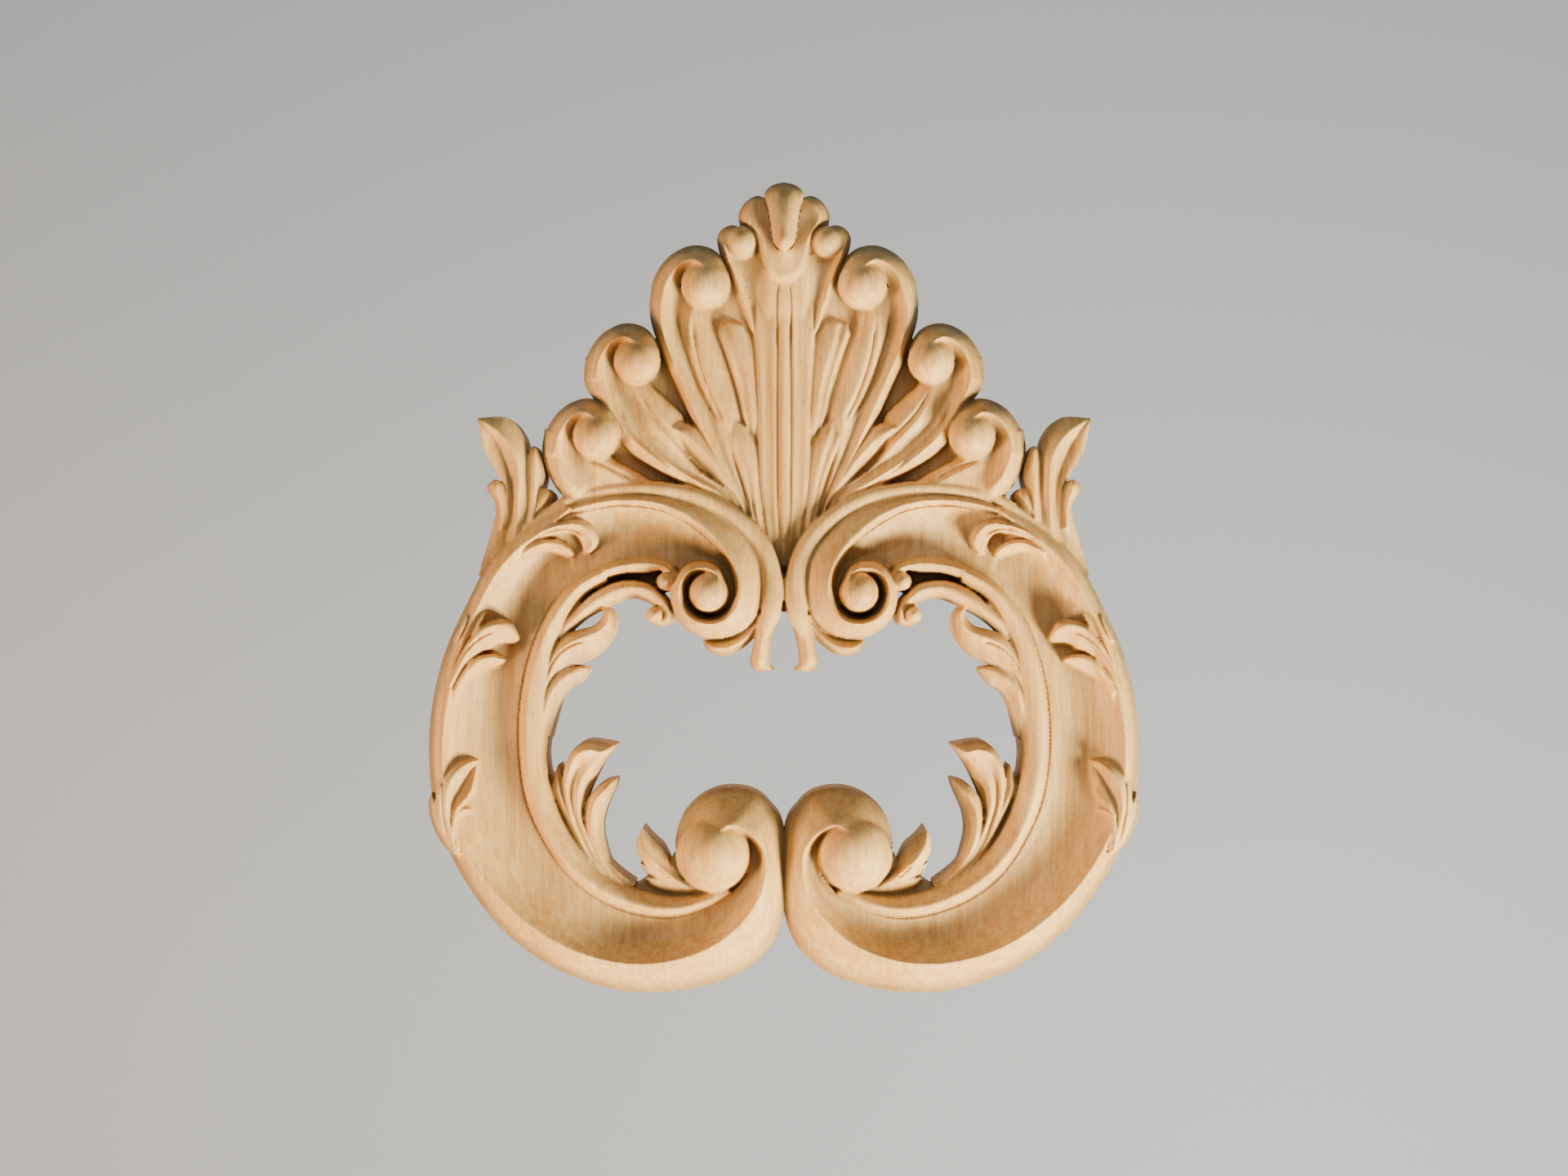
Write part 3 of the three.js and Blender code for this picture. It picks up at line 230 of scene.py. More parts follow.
for lobe in (upper_lobe, lower_lobe, side_lobe):
    ribbon(lobe, swell=(1, -0.6))
for blade in (upper_blade, middle_blade, lower_blade):
    ribbon(blade, swell=(1.6, -0.8, 0, 1))
ball((63, 305), 19, 13, 18.5)
ball((52, 303), 20, 16, 22)

# The curls. Each blade rolls over at its tip: a rim climbs round a ball and runs out on top of it.
# All three are drawn once, in shares of the ball's radius from its centre.
curl = [
  [[2.3, -0.87, 11], [2.13, 0.23, 11], [1.53, 1.13, 11], [0.63, 1.6, 12], [-0.13, 1.53, 13],
    [-0.6, 1.2, 14], [-0.93, 0.57, 15], [-1.03, -0.03, 16]],
  [[1.83, -0.87, 20], [1.57, 0.13, 20.5], [1.07, 0.8, 21.5], [0.53, 1.0, 22.5], [0.1, 0.77, 23.5],
    [-0.2, 0.57, 24], [-0.4, 0.33, 24], [-0.53, 0.03, 24]],
  [[1.3, -0.87, 15.5], [1.07, -0.1, 15], [0.77, 0.43, 15.5], [0.43, 0.73, 17.5], [0.13, 0.63, 22.5],
    [-0.1, 0.37, 25], [-0.2, 0.17, 25.5], [-0.27, -0.03, 25.5]],
]
curl_balls = [[[96, 251], 30], [[180, 158], 28.5], [[230, 66], 28.5]]
for centre, radius in curl_balls:
    ribbon([[[centre[0] + radius * reach, centre[1] + radius * rise, height]
             for reach, rise, height in rail] for rail in curl], swell=(1.8, -0.5))
    ball(centre, radius, 18, 26)

# The scrolls. A broad cove runs between an outer crest and an inner strand, and ends in a volute
# at the top and a large disc below.
limb = [
  [[270, -12, 12], [315, -42, 11], [357, -82, 10], [390, -142, 9], [415, -198, 9], [430, -258, 9],
    [435, -315, 9], [430, -380, 9], [412, -438, 9], [387, -484, 9], [342, -541, 9], [275, -588, 9],
    [195, -613, 9], [115, -610, 9], [55, -591, 9], [15, -556, 10], [-2, -505, 12], [-2, -455, 13],
    [4, -403, 13], [30, -373, 13]],
  [[263, -28, 17], [305, -55, 18], [345, -92, 19], [375, -142, 19], [398, -200, 19], [413, -260, 19],
    [419, -318, 19], [413, -380, 19], [393, -435, 19], [363, -482, 19], [315, -530, 20],
    [255, -565, 20], [185, -580, 20], [122, -572, 21], [72, -547, 21], [38, -509, 22],
    [24, -472, 23], [26, -443, 23], [43, -421, 24], [63, -412, 24]],
  [[242, -105, 14], [270, -127, 14], [292, -158, 14], [308, -196, 13.5], [319, -242, 13],
    [323, -282, 13], [322, -325, 13], [312, -375, 13], [292, -422, 13], [262, -461, 13],
    [225, -492, 13], [185, -512, 13], [148, -520, 13], [112, -516, 14], [82, -503, 14],
    [60, -488, 15], [45, -468, 16], [43, -445, 17], [55, -425, 18], [70, -418, 20]],
]
upper_cove = [
  [[59, -112, 17], [67, -85, 17], [92, -56, 17.5], [125, -32, 18], [170, -17, 18], [215, -17, 17.5],
    [275, -36, 16.8]],
  [[90, -135, 12], [110, -115, 12], [125, -100, 12.5], [145, -90, 13], [175, -84, 13.5],
    [210, -90, 14], [252, -114, 13.8]],
]
inner_strand = [
  [[215, -89, 13.5], [257, -112, 13.5], [286, -144, 13.5], [305, -184, 13], [318, -230, 12.5],
    [324, -275, 12.5], [324, -325, 12.5], [316, -378, 12.5], [299, -420, 12.5], [268, -468, 12.5],
    [228, -500, 12.5], [178, -519, 12.5], [130, -522, 12.5], [89, -510, 13.5], [64, -495, 14.5]],
  [[217, -98, 19], [254, -119, 19], [279, -150, 19], [298, -187, 18.5], [311, -232, 18],
    [316, -275, 18], [316, -324, 18], [307, -375, 18], [292, -418, 18], [262, -461, 18],
    [224, -490, 18], [176, -510, 18], [130, -513, 18], [94, -502, 17], [67, -489, 16]],
  [[215, -113, 13], [242, -129, 13.5], [263, -157, 14], [278, -190, 14], [284, -238, 14],
    [285, -278, 13], [291, -325, 13], [285, -363, 13], [266, -413, 12], [238, -452, 12],
    [205, -477, 12], [165, -492, 12], [130, -496, 12], [98, -490, 12], [80, -482, 13]],
]
strand_tip = [
  [[225, -93, 13.5], [205, -87, 13.5], [180, -84, 13.5], [160, -85, 13.5], [145, -88.5, 14],
    [134, -96, 14], [130, -106, 14.5], [130.5, -116, 14.5], [136, -122, 14.5]],
  [[221, -98, 19], [203, -93, 19], [180, -89.5, 19], [160, -90, 19], [147.5, -93.5, 19],
    [139, -99.5, 19], [134.5, -107, 18.5], [134, -115, 18], [138, -119.5, 17]],
  [[215, -109, 13.5], [198, -103, 14], [180, -102, 14], [163, -101, 14], [152, -99.5, 14],
    [144, -102, 14.5], [139, -108, 15], [138, -114, 15], [140, -117, 15]],
]
second_strand = [
  [[280, -178, 12.5], [270, -160, 13], [256, -144, 13], [237, -127, 13.5], [216, -115, 13.5],
    [195, -110, 13.5], [178, -111, 13.5], [163, -115, 13.5], [152, -123, 13.5], [142, -135, 13.5],
    [136, -148, 13], [136.5, -159, 13], [143, -166, 13], [154.5, -167, 13], [165, -163, 13]],
  [[277, -181, 14.5], [264, -163, 16.5], [250, -151, 17.5], [233, -137, 18], [215, -127, 18],
    [195, -120, 18], [179, -120, 18], [166, -124, 18], [157, -131, 18], [148, -140, 18],
    [142, -150, 17.5], [142.5, -158, 17.5], [147, -162, 17], [154.5, -163, 16.5], [162, -160, 16]],
  [[273, -184, 13], [258, -169, 13], [243, -157, 13], [229, -149, 13.5], [216, -142.5, 13.5],
    [195, -134, 13], [180, -133, 13], [169, -136.5, 13], [161, -141, 13], [154, -145, 13.5],
    [149.5, -151, 14], [149, -155, 14.5], [151.5, -158, 15], [155, -159, 15], [159, -157.5, 15]],
]
upper_volute = [
  [[275, -26, 13.5], [253, -16, 15], [210, -7, 15], [160, -6, 15.5], [115, -15, 16], [80, -31, 17],
    [52, -54, 18], [33, -83, 19], [26, -118, 19], [31, -150, 19], [52, -173, 18.5], [87, -182, 18],
    [118, -172, 18], [136, -148, 18], [138, -117, 18], [122, -93, 18], [100, -87, 18], [80, -94, 19],
    [70, -112, 20]],
  [[275, -32, 15.5], [251, -23, 17.5], [210, -14, 18.5], [161, -16, 19.5], [121, -32, 20.5],
    [93, -53, 22], [74, -73, 23.5], [60, -97, 25], [55, -122, 26], [61, -144, 26], [73, -158, 26],
    [93, -163, 26], [113, -157, 25.5], [127, -142, 25.5], [128, -118, 25], [116, -100, 25],
    [99, -96, 25], [85, -101, 25.5], [78, -114, 26]],
  [[274, -38, 13.5], [250, -28, 15], [210, -19, 16], [162, -21, 17], [123, -36, 18], [96, -56, 18],
    [78, -77, 17], [67, -100, 15], [64, -124, 15], [69, -141, 15], [79, -151, 15], [94, -155, 15],
    [108, -150, 15], [118, -138, 15], [119, -120, 15], [110, -106, 15], [97, -102, 17], [87, -107, 21],
    [86, -116, 26]],
]
crescent = [
  [[94, -180, 12], [80, -181, 12], [62, -177, 12], [45, -166, 12], [30, -150, 13]],
  [[99, -185, 14], [88, -193, 16], [68, -193, 17], [48, -182, 17], [27, -157, 18]],
  [[100, -186, 11], [92, -198, 11], [70, -203, 11], [46, -190, 11], [24, -165, 12]],
]
tail = [
  [[39, -155, 14], [37, -168, 14], [37, -182, 14], [39, -196, 13.5], [42, -208, 13], [39, -218, 12.5],
    [30, -223, 12]],
  [[25, -150, 20.5], [25, -166, 20], [27, -181, 19.5], [29, -196, 18.5], [30, -208, 18],
    [28, -215, 17], [21, -220, 15]],
  [[7, -148, 15], [10, -165, 15], [14, -180, 15], [17, -195, 15], [18, -207, 15], [17, -215, 14.5],
    [11, -221, 13]],
]
lower_volute_cap = [
  [[4, -403, 13], [30, -373, 13], [65, -364, 12], [98, -373, 12], [124, -398, 12], [133, -432, 12],
    [128, -457, 12]],
  [[45, -419, 24], [63, -412, 24.5], [78, -418, 25], [86, -428, 26], [90, -436, 26.5],
    [90, -444, 26.5], [88, -450, 26.5]],
]
grounds = [
  [
    [[146, -86, 5], [185, -88, 5], [215, -98, 5], [249, -129, 5], [272, -158, 5]],
    [[142, -124, 5], [160, -130, 5], [190, -124, 5], [233, -142, 5], [262, -172, 5]],
  ],
  [
    [[18, -60, 12], [22, -120, 16.5], [25, -158, 16.5], [60, -186, 12]],
    [[120, -60, 11], [138, -100, 11], [132, -145, 11], [105, -176, 11]],
  ],
  [
    [[10, -440, 10], [35, -490, 12.5], [90, -512, 12], [150, -505, 11], [190, -490, 10]],
    [[60, -430, 10], [75, -460, 12.5], [90, -470, 12], [128, -464, 10], [165, -474, 10]],
  ],
  [
    [[293, -343, 10], [288, -365, 10], [272, -404, 10], [252, -440, 11], [222, -478, 12],
      [192, -497, 12]],
    [[283, -351, 10], [272, -369, 10], [251, -397, 10], [234, -430, 11], [208, -462, 12],
      [182, -482, 12]],
  ],
  [
    [[264, -358, 10], [258, -400, 10], [245, -440, 10]],
    [[247, -358, 10], [242, -400, 10], [230, -440, 10]],
  ],
  [
    [[330, -62, 11], [292, -27, 12], [250, -12, 13]],
    [[312, -82, 11], [276, -50, 12], [240, -38, 13]],
  ],
  [
    [[130, 12, 12.5], [80, -14, 13], [50, -42, 13.5], [26, -80, 13.5]],
    [[62, 12, 13], [34, -20, 13], [12, -50, 13], [-1, -95, 13]],
  ],
]
for ground in grounds:
    ribbon(ground)
ribbon(limb, swell=(1.6, -4.5))
ribbon(upper_cove, swell=(-3.5,))
for strip in (inner_strand, strand_tip, second_strand):
    ribbon(strip, swell=(1.2, 1.2))
ribbon(upper_volute, swell=(0.8, -0.4))
ribbon(crescent, swell=(0.5, 0.5))
ribbon(tail, swell=(1, 0.5))
ribbon(lower_volute_cap, swell=(1.6,))
ball((145, -112), 12, 15, 22)
ball((158.5, -153), 10.5, 13.5, 21)
ball((92, -126), 25.5, 20, 28)
ball((86.5, -446), 46, 16, 27.5)

# The beads. The outer edge of each scroll and the finest points of the leaves are rounded strands
# along a drawn path: [reach, rise, crest height, half width]. Each is a rod half sunk in the face.
outer_bead = [
  [318, -47, 14, 5], [295, -32, 15, 6], [270, -16, 16, 7], [248, -7, 16.5, 7.5], [210, 0, 17, 8.5],
    [170, 2, 17.5, 9], [130, -2, 18, 9.5], [98, -11, 18.5, 10], [70, -25, 19.5, 10.5],
    [48, -43, 20.5, 11], [30, -65, 21, 12], [18, -91, 21.5, 13], [13, -120, 22, 14.5],
    [16, -148, 22, 13], [22, -168, 20.5, 9.5], [25, -181, 18, 5],
]
fine_points = [
  [[402, -185, 18.5, 2.5], [394, -168, 19.5, 2.2], [388, -154, 19, 1]],
  [[382, -185, 19, 3], [374, -166, 20, 2.4], [366, -151, 19.5, 1]],
  [[280, -38, 18, 2.4], [270, -29, 19, 2], [262, -21, 18.5, 1]],
]

strand_tree = bpy.data.node_groups.new("strand", "GeometryNodeTree")
strand_tree.is_modifier = True
for socket_name, socket_type in (("Path", "NodeSocketGeometry"), ("Sides", "NodeSocketInt"),
                                 ("Step", "NodeSocketFloat"), ("Finish", "NodeSocketMaterial")):
    strand_tree.interface.new_socket(socket_name, in_out="INPUT", socket_type=socket_type)
strand_tree.interface.new_socket("Strand", in_out="OUTPUT", socket_type="NodeSocketGeometry")
inlet = strand_tree.nodes.new("NodeGroupInput")
outlet = strand_tree.nodes.new("NodeGroupOutput")
even = strand_tree.nodes.new("GeometryNodeResampleCurve")
even.mode = "LENGTH"
section = strand_tree.nodes.new("GeometryNodeCurvePrimitiveCircle")
section.inputs["Radius"].default_value = 1
thickness = strand_tree.nodes.new("GeometryNodeInputRadius")
rod = strand_tree.nodes.new("GeometryNodeCurveToMesh")
rod.inputs["Fill Caps"].default_value = True
whole = strand_tree.nodes.new("GeometryNodeRealizeInstances")
finish = strand_tree.nodes.new("GeometryNodeSetMaterial")
for source, target in ((inlet.outputs["Path"], even.inputs["Curve"]),
                       (inlet.outputs["Step"], even.inputs["Length"]),
                       (inlet.outputs["Sides"], section.inputs["Resolution"]),
                       (even.outputs["Curve"], rod.inputs["Curve"]),
                       (section.outputs["Curve"], rod.inputs["Profile Curve"]),
                       (thickness.outputs["Radius"], rod.inputs["Scale"]),
                       (rod.outputs["Mesh"], whole.inputs["Geometry"]),
                       (whole.outputs["Geometry"], finish.inputs["Geometry"]),
                       (inlet.outputs["Finish"], finish.inputs["Material"]),
                       (finish.outputs["Geometry"], outlet.inputs["Strand"])):
    strand_tree.links.new(source, target)


PER_MM = 4
STRAND_SIDES = 20
STRAND_STEP = 2.0


def strand(path):
    """A rod along the path, its height in grid units too while it is rounded."""
    line = drawn_line(path, (len(path) - 1) * 8 + 1)
    track = bpy.data.curves.new("strand path", "CURVE")
    track.dimensions = "3D"
    spline = track.splines.new("POLY")
    spline.points.add(len(line) - 1)
    for point, (reach, rise, crest, half_width) in zip(spline.points, line):
        point.co = (reach, rise, crest * PER_MM - half_width, 1)
        point.radius = half_width
    holder = bpy.data.objects.new("strand path", track)
    bpy.context.collection.objects.link(holder)
    rounding = holder.modifiers.new("strand", "NODES")
    rounding.node_group = strand_tree
    socket = {item.name: item.identifier for item in strand_tree.interface.items_tree
              if item.in_out == "INPUT"}
    rounding[socket["Sides"]] = STRAND_SIDES
    rounding[socket["Step"]] = STRAND_STEP
    rounding[socket["Finish"]] = wood
    seen = holder.evaluated_get(bpy.context.evaluated_depsgraph_get())
    mesh = bpy.data.meshes.new_from_object(seen)
    mesh.calc_loop_triangles()
    points = np.empty(len(mesh.vertices) * 3)
    mesh.vertices.foreach_get("co", points)
    corners = np.empty(len(mesh.loop_triangles) * 3, int)
    mesh.loop_triangles.foreach_get("vertices", corners)
    keep(points.reshape(-1, 3) * (1, 1, 1 / PER_MM), corners.reshape(-1, 3))
    bpy.data.objects.remove(holder)
    bpy.data.curves.remove(track)
    bpy.data.meshes.remove(mesh)


wood = bpy.data.materials.new("carved beech")
for path in [outer_bead] + fine_points:
    strand(path)

# The leaves. They lie on the cove, reach into the opening, and one sprig grows up outside each
# scroll.
cove_leaves = [
  [
    [[320, -68, 17.5], [305, -55, 18], [288, -45, 18.5], [270, -39.5, 18.5], [254, -37, 18],
      [241, -40, 17.5], [232, -48, 17], [227, -60, 17], [229, -69, 16.5], [238, -78, 16.5]],
    [[318, -68, 17.8], [303, -57, 19], [287, -48.5, 19.5], [270, -44, 19.5], [256, -43, 19.5],
      [246, -47, 19.5], [238, -55, 19.5], [235, -64, 19], [237, -71, 18.5], [241, -77, 17]],
    [[315, -70, 17], [300, -60.5, 17], [285, -57, 17], [270, -53.5, 17], [261, -53.5, 16.5],
      [254, -57, 16.5], [250, -63, 16.5], [247, -70, 16.5], [245, -75, 16.5], [242, -78, 16.5]],
  ],
  [
    [[320, -76, 17], [308, -68, 17.5], [295, -61.5, 17.5], [280, -61, 17], [268, -66, 16.5],
      [260, -73, 16], [256, -81, 15.5]],
    [[320, -79, 17.5], [308, -72, 18.5], [294, -67, 18.5], [280, -67, 18.5], [270, -71, 18],
      [263, -77, 17], [258, -81, 15.5]],
    [[320, -86, 16], [308, -78, 16], [294, -75, 16], [282, -76, 16], [273, -79, 15.5], [264, -82, 15],
      [260, -82.5, 15]],
  ],
  [
    [[411, -240, 19], [400, -212, 19.5], [388, -188, 20], [375, -170, 20], [362, -162, 19.5],
      [347, -159.5, 19], [335, -162, 18], [328, -171, 17], [323, -182, 15.5]],
    [[408, -238, 19.5], [396, -214, 20.5], [384, -194, 20.5], [370, -177, 20.5], [357, -169, 20.5],
      [345, -168, 20], [336, -173, 19], [330, -179, 17.5], [324, -183, 15.5]],
    [[404, -238, 18.5], [392, -218, 18], [380, -206, 18], [368, -198, 17.5], [358, -194, 17],
      [350, -189, 16.5], [340, -187, 16], [331, -187.5, 15.5], [325, -185, 15.5]],
  ],
  [
    [[405, -245, 18.5], [394, -223, 18.5], [382, -208, 18.5], [368, -201, 18], [356, -201, 17.5],
      [347, -204, 16.5], [340, -208, 15]],
    [[404, -252, 18.5], [393, -232, 19], [380, -218, 19], [367, -210, 18.5], [356, -208, 18],
      [347, -208, 17], [341, -209, 15]],
    [[404, -262, 17.5], [392, -243, 17], [380, -230, 16.5], [370, -224, 16], [360, -219, 15.5],
      [350, -215, 15], [341, -209.5, 15]],
  ],
  [
    [[404, -445, 18], [413, -415, 18.5], [419, -390, 19], [420, -372, 19], [417, -356, 19],
      [409, -343, 18], [398, -334, 16.5], [386, -330.5, 15], [374.5, -330.2, 13.5]],
    [[402, -443, 19], [409, -415, 20], [413, -392, 20.5], [412, -374, 20.5], [407, -358, 20],
      [399, -346, 19], [390, -338, 17.5], [382, -333.5, 15.8], [374.3, -330.6, 13.7]],
    [[400, -442, 18.5], [406, -415, 18.2], [408, -397, 18], [403, -382, 17], [397, -370, 16],
      [391, -358, 15], [385, -348, 14.3], [379, -339, 13.8], [374.1, -331, 13.5]],
    [[398, -441, 19], [403, -415, 19.5], [405, -400, 20], [398, -388, 19.8], [388, -377, 18.8],
      [381, -365, 17.5], [378, -352, 16.3], [376, -341, 15], [374, -331.5, 13.6]],
    [[395, -440, 17], [399, -415, 16], [401, -402, 15.5], [393, -390, 14.5], [384, -380, 13],
      [377.5, -367, 12], [375.5, -353, 12], [374.8, -342, 12.3], [373.8, -332, 12.8]],
  ],
  [
    [[417, -425, 17], [424, -400, 18], [426, -380, 18.5], [424.5, -364, 18.5], [419, -352, 18]],
    [[414, -425, 19], [420, -400, 20], [421, -382, 20.3], [420.5, -367, 20], [418.5, -353, 18.3]],
    [[411, -425, 18], [416, -400, 18.5], [417, -384, 18.5], [417, -369, 18.5], [417.5, -354, 17.8]],
  ],
  [
    [[399, -450, 17], [404, -437, 17.5], [408, -420, 18], [408.5, -406, 18], [405, -395, 18],
      [398, -389, 17.5], [389, -388, 16], [383, -391, 14.5]],
    [[398.5, -450, 18], [402.5, -437, 19], [405, -420, 19.8], [404, -408, 20], [400, -399, 19.5],
      [393, -394, 18.3], [387, -392, 16.8], [382.3, -392.5, 14.7]],
    [[398, -451, 16.5], [400.5, -438, 16], [400.5, -424, 15.5], [398.5, -413, 15], [394, -405, 14.2],
      [389, -400.5, 13.5], [384.5, -398.5, 13], [381.8, -395, 13]],
  ],
  [
    [[431, -370, 14], [435, -380, 10.5], [434.5, -395, 10], [430, -411, 10], [420, -431, 10],
      [407, -446, 10]],
    [[430.5, -371, 15.5], [430, -381, 17.5], [428, -395, 18.5], [423, -410, 19], [413, -430, 19],
      [400, -446, 19]],
    [[430, -372, 14.5], [426, -382, 16.5], [421, -395, 17.5], [415, -410, 18.5], [406, -430, 18.5],
      [394, -446, 18.5]],
  ],
]
opening_leaves = [
  [
    [[294, -245, 14.5], [292, -226, 15], [286, -204, 15], [277, -187, 14.5], [264, -175, 14],
      [248, -170, 13.5], [234, -166, 13.5], [224, -157, 13.5], [222, -148, 13.5], [225, -142, 13.5]],
    [[292, -246, 15.5], [288, -226, 17], [279, -206, 17.5], [267, -193, 17.5], [254, -184, 17.5],
      [240, -179, 17.5], [226, -173, 18], [216, -162, 18.5], [216, -150, 18], [223, -141, 15]],
    [[289, -256, 14.5], [282, -236, 14.5], [270, -223, 14.5], [258, -216, 14], [244, -211, 13.5],
      [229, -202, 13], [216, -189, 12.5], [208, -172, 12.5], [208, -154, 12.5], [220, -141, 13]],
  ],
  [
    [[296, -268, 15], [291, -248, 15.5], [281, -231, 15.5], [268, -221, 15], [254, -216, 14.5],
      [239, -219, 13]],
    [[293, -280, 15.5], [288, -258, 16.5], [278, -241, 16.5], [266, -231, 16], [253, -225, 15],
      [240, -220, 13]],
    [[287, -305, 13], [281, -280, 13], [274, -258, 13], [263, -244, 13], [250, -236, 13],
      [239, -221, 13]],
  ],
  [
    [[214, -480, 12.6], [242, -446, 13], [260, -412, 13.5], [269, -378, 14], [271, -352, 14],
      [266, -331, 14], [256, -315, 13.5], [242, -307, 13], [225, -308, 13], [206, -312.5, 15]],
    [[211, -480.4, 13.2], [239, -446, 14], [256, -412, 15.5], [265, -380, 16.5], [266, -355, 17.5],
      [261, -337, 18.5], [254, -324, 19.5], [240, -318, 20], [224, -321, 19.5], [206, -313, 15.5]],
    [[208, -480.8, 13], [236, -446, 13.8], [252, -412, 14], [260, -385, 14.5], [260, -360, 15],
      [255, -345, 15.5], [247, -334, 16.5], [236, -328, 17.5], [222, -325, 18], [206, -313, 15.5]],
    [[204, -481.2, 13.4], [232, -447, 15], [246, -412, 16], [253, -385, 17], [251, -362, 17],
      [244, -347, 17], [235, -337, 17.5], [226, -330, 18], [217, -324, 17.5], [206, -313, 15.5]],
    [[198, -482, 12.4], [222, -456, 13], [238, -428, 13], [246, -403, 12.5], [243, -382, 12.5],
      [236, -364, 12.5], [229, -349, 12.5], [222, -336, 12.5], [214, -324, 13], [206, -314, 14]],
  ],
  [
    [[238, -456, 11.8], [254, -430, 12], [268, -403, 12], [278, -382, 12], [285, -364, 12],
      [283, -353, 12], [276, -334, 13]],
    [[235, -455, 12.8], [251, -430, 14], [263, -403, 15], [272, -383, 15.5], [277, -365, 15],
      [277, -350, 14.5], [276, -334.5, 13]],
    [[232, -454, 12.4], [248, -430, 13], [258, -403, 13.5], [265, -385, 14], [270, -365, 14],
      [272, -350, 13.5], [276, -335, 13]],
  ],
  [
    [[204, -479, 12.6], [227, -452, 13.5], [240, -430, 13.5], [245, -405, 13.5], [243, -385, 13.5],
      [237, -372, 13.5], [227, -362, 13.5], [216, -356, 13], [205, -354, 13]],
    [[197, -482, 13.6], [220, -455, 15], [232, -430, 16], [236, -408, 16.5], [233, -388, 16.5],
      [227, -376, 17], [219, -368, 16.5], [212, -361, 15], [205, -355, 13.5]],
    [[186, -487, 11], [208, -468, 11], [218, -442, 11], [223, -418, 11.5], [221, -400, 12],
      [216, -385, 12], [210, -372, 12], [206, -362, 12.5], [205, -356, 13]],
  ],
  [
    [[110, -492, 13], [135, -483, 13.5], [155, -470, 14], [170, -458, 14], [180, -442, 13.5],
      [180, -427, 13], [173, -413, 13.5]],
    [[110, -488, 14], [132, -477, 16], [150, -463, 17], [163, -450, 17], [171, -437, 16.5],
      [174, -425, 15.5], [173, -413.5, 13.5]],
    [[110, -482, 12], [125, -474, 12.5], [137, -464, 12.5], [141, -452, 12.5], [149, -437, 12.5],
      [162, -425, 12.5], [172, -414, 13]],
  ],
  [
    [[120, -494, 11.5], [145, -485, 12], [160, -475, 12], [171, -466, 12], [177, -455, 13]],
    [[115, -488, 14], [140, -478, 15], [156, -468, 15], [168, -460, 14.5], [177, -455, 13]],
  ],
  [
    [[80, -490, 12], [110, -495, 11.5], [135, -495, 11.5], [154, -489, 11.5], [164, -482, 12],
      [169.5, -475, 12.5]],
    [[85, -480, 14], [110, -486, 14.5], [132, -482, 14.5], [148, -477, 14.5], [160, -474, 14],
      [169, -474, 12.5]],
  ],
  [
    [[115, -482, 13], [127, -476, 13], [135, -468, 13], [139, -458, 13], [138, -450, 12.5]],
    [[110, -475, 13], [122, -468, 13.5], [128, -460, 13.5], [131, -452, 13], [134, -448, 12.5]],
  ],
]
sprig_lobes = [
  [
    [[372, -95, 9.5], [358, -50, 12], [350, -20, 13], [341, 0, 13.5], [349, 16, 14], [360, 34, 14],
      [368, 50, 14], [372, 68, 14], [376, 87, 13.5]],
    [[352, -90, 10.5], [338, -50, 12], [332, -20, 12.5], [334, 0, 12.5], [338, 20, 12.5],
      [345, 40, 12.5], [354, 58, 12.5], [364, 73, 13.5], [376, 87, 13.5]],
    [[345, -88, 11], [330, -50, 14.5], [327, -20, 16.5], [326, 0, 17], [326, 20, 17], [329, 40, 17],
      [338, 58, 16.5], [353, 73, 15.5], [376, 87, 13.5]],
    [[335, -85, 10.5], [316, -50, 13], [314, -20, 13.5], [314, 0, 13.5], [314, 22, 13],
      [314, 45, 12.5], [320, 68, 12], [338, 88, 12], [376, 88, 13]],
  ],
  [
    [[352, -48, 11], [352, -30, 11], [355, -13, 11], [362, -3, 11], [363, 6, 11], [355, 13, 12]],
    [[346, -48, 14], [346, -30, 15], [348, -14, 16], [352, -2, 16.5], [353, 6, 16], [352, 12.5, 13.5]],
    [[339, -48, 13], [340, -30, 13], [340, -15, 13], [341, -2, 13], [344, 7, 13], [350, 12, 12.5]],
  ],
  [
    [[316, -40, 13], [315, -10, 13], [315, 15, 13], [314, 38, 13], [311, 50, 12.5], [307, 54, 12]],
    [[306, -35, 15], [305, -5, 16], [304, 20, 16], [304, 40, 15.5], [305, 50, 14.5], [306, 54, 12.5]],
    [[300, -15, 12], [296, 3, 12], [293, 15, 12], [295, 32, 12], [300, 46, 12], [305, 54, 12]],
  ],
  [
    [[325, -55, 10], [308, -38, 10.5], [296, -29, 11], [286, -18, 11], [282, -7, 11.5], [289, 2, 12]],
    [[318, -45, 13.5], [306, -30, 15], [299, -18, 16], [294, -9, 16], [291, -3, 15], [291, 2, 13]],
    [[312, -30, 13], [305, -18, 13.5], [303, -10, 14], [301, -3, 13.5], [297, 1, 13], [292, 2.5, 12.5]],
  ],
  [
    [[375, -105, 9], [362, -75, 9], [353, -50, 10], [352, -30, 10], [345, 0, 10]],
    [[362, -100, 11], [345, -65, 12], [338, -40, 12], [336, -15, 12], [330, 5, 12]],
    [[345, -85, 11], [318, -55, 11], [306, -38, 11], [300, -15, 11], [305, 5, 11]],
  ],
]
for leaf in cove_leaves + opening_leaves + sprig_lobes:
    ribbon(leaf, swell=(0.6, -0.4))

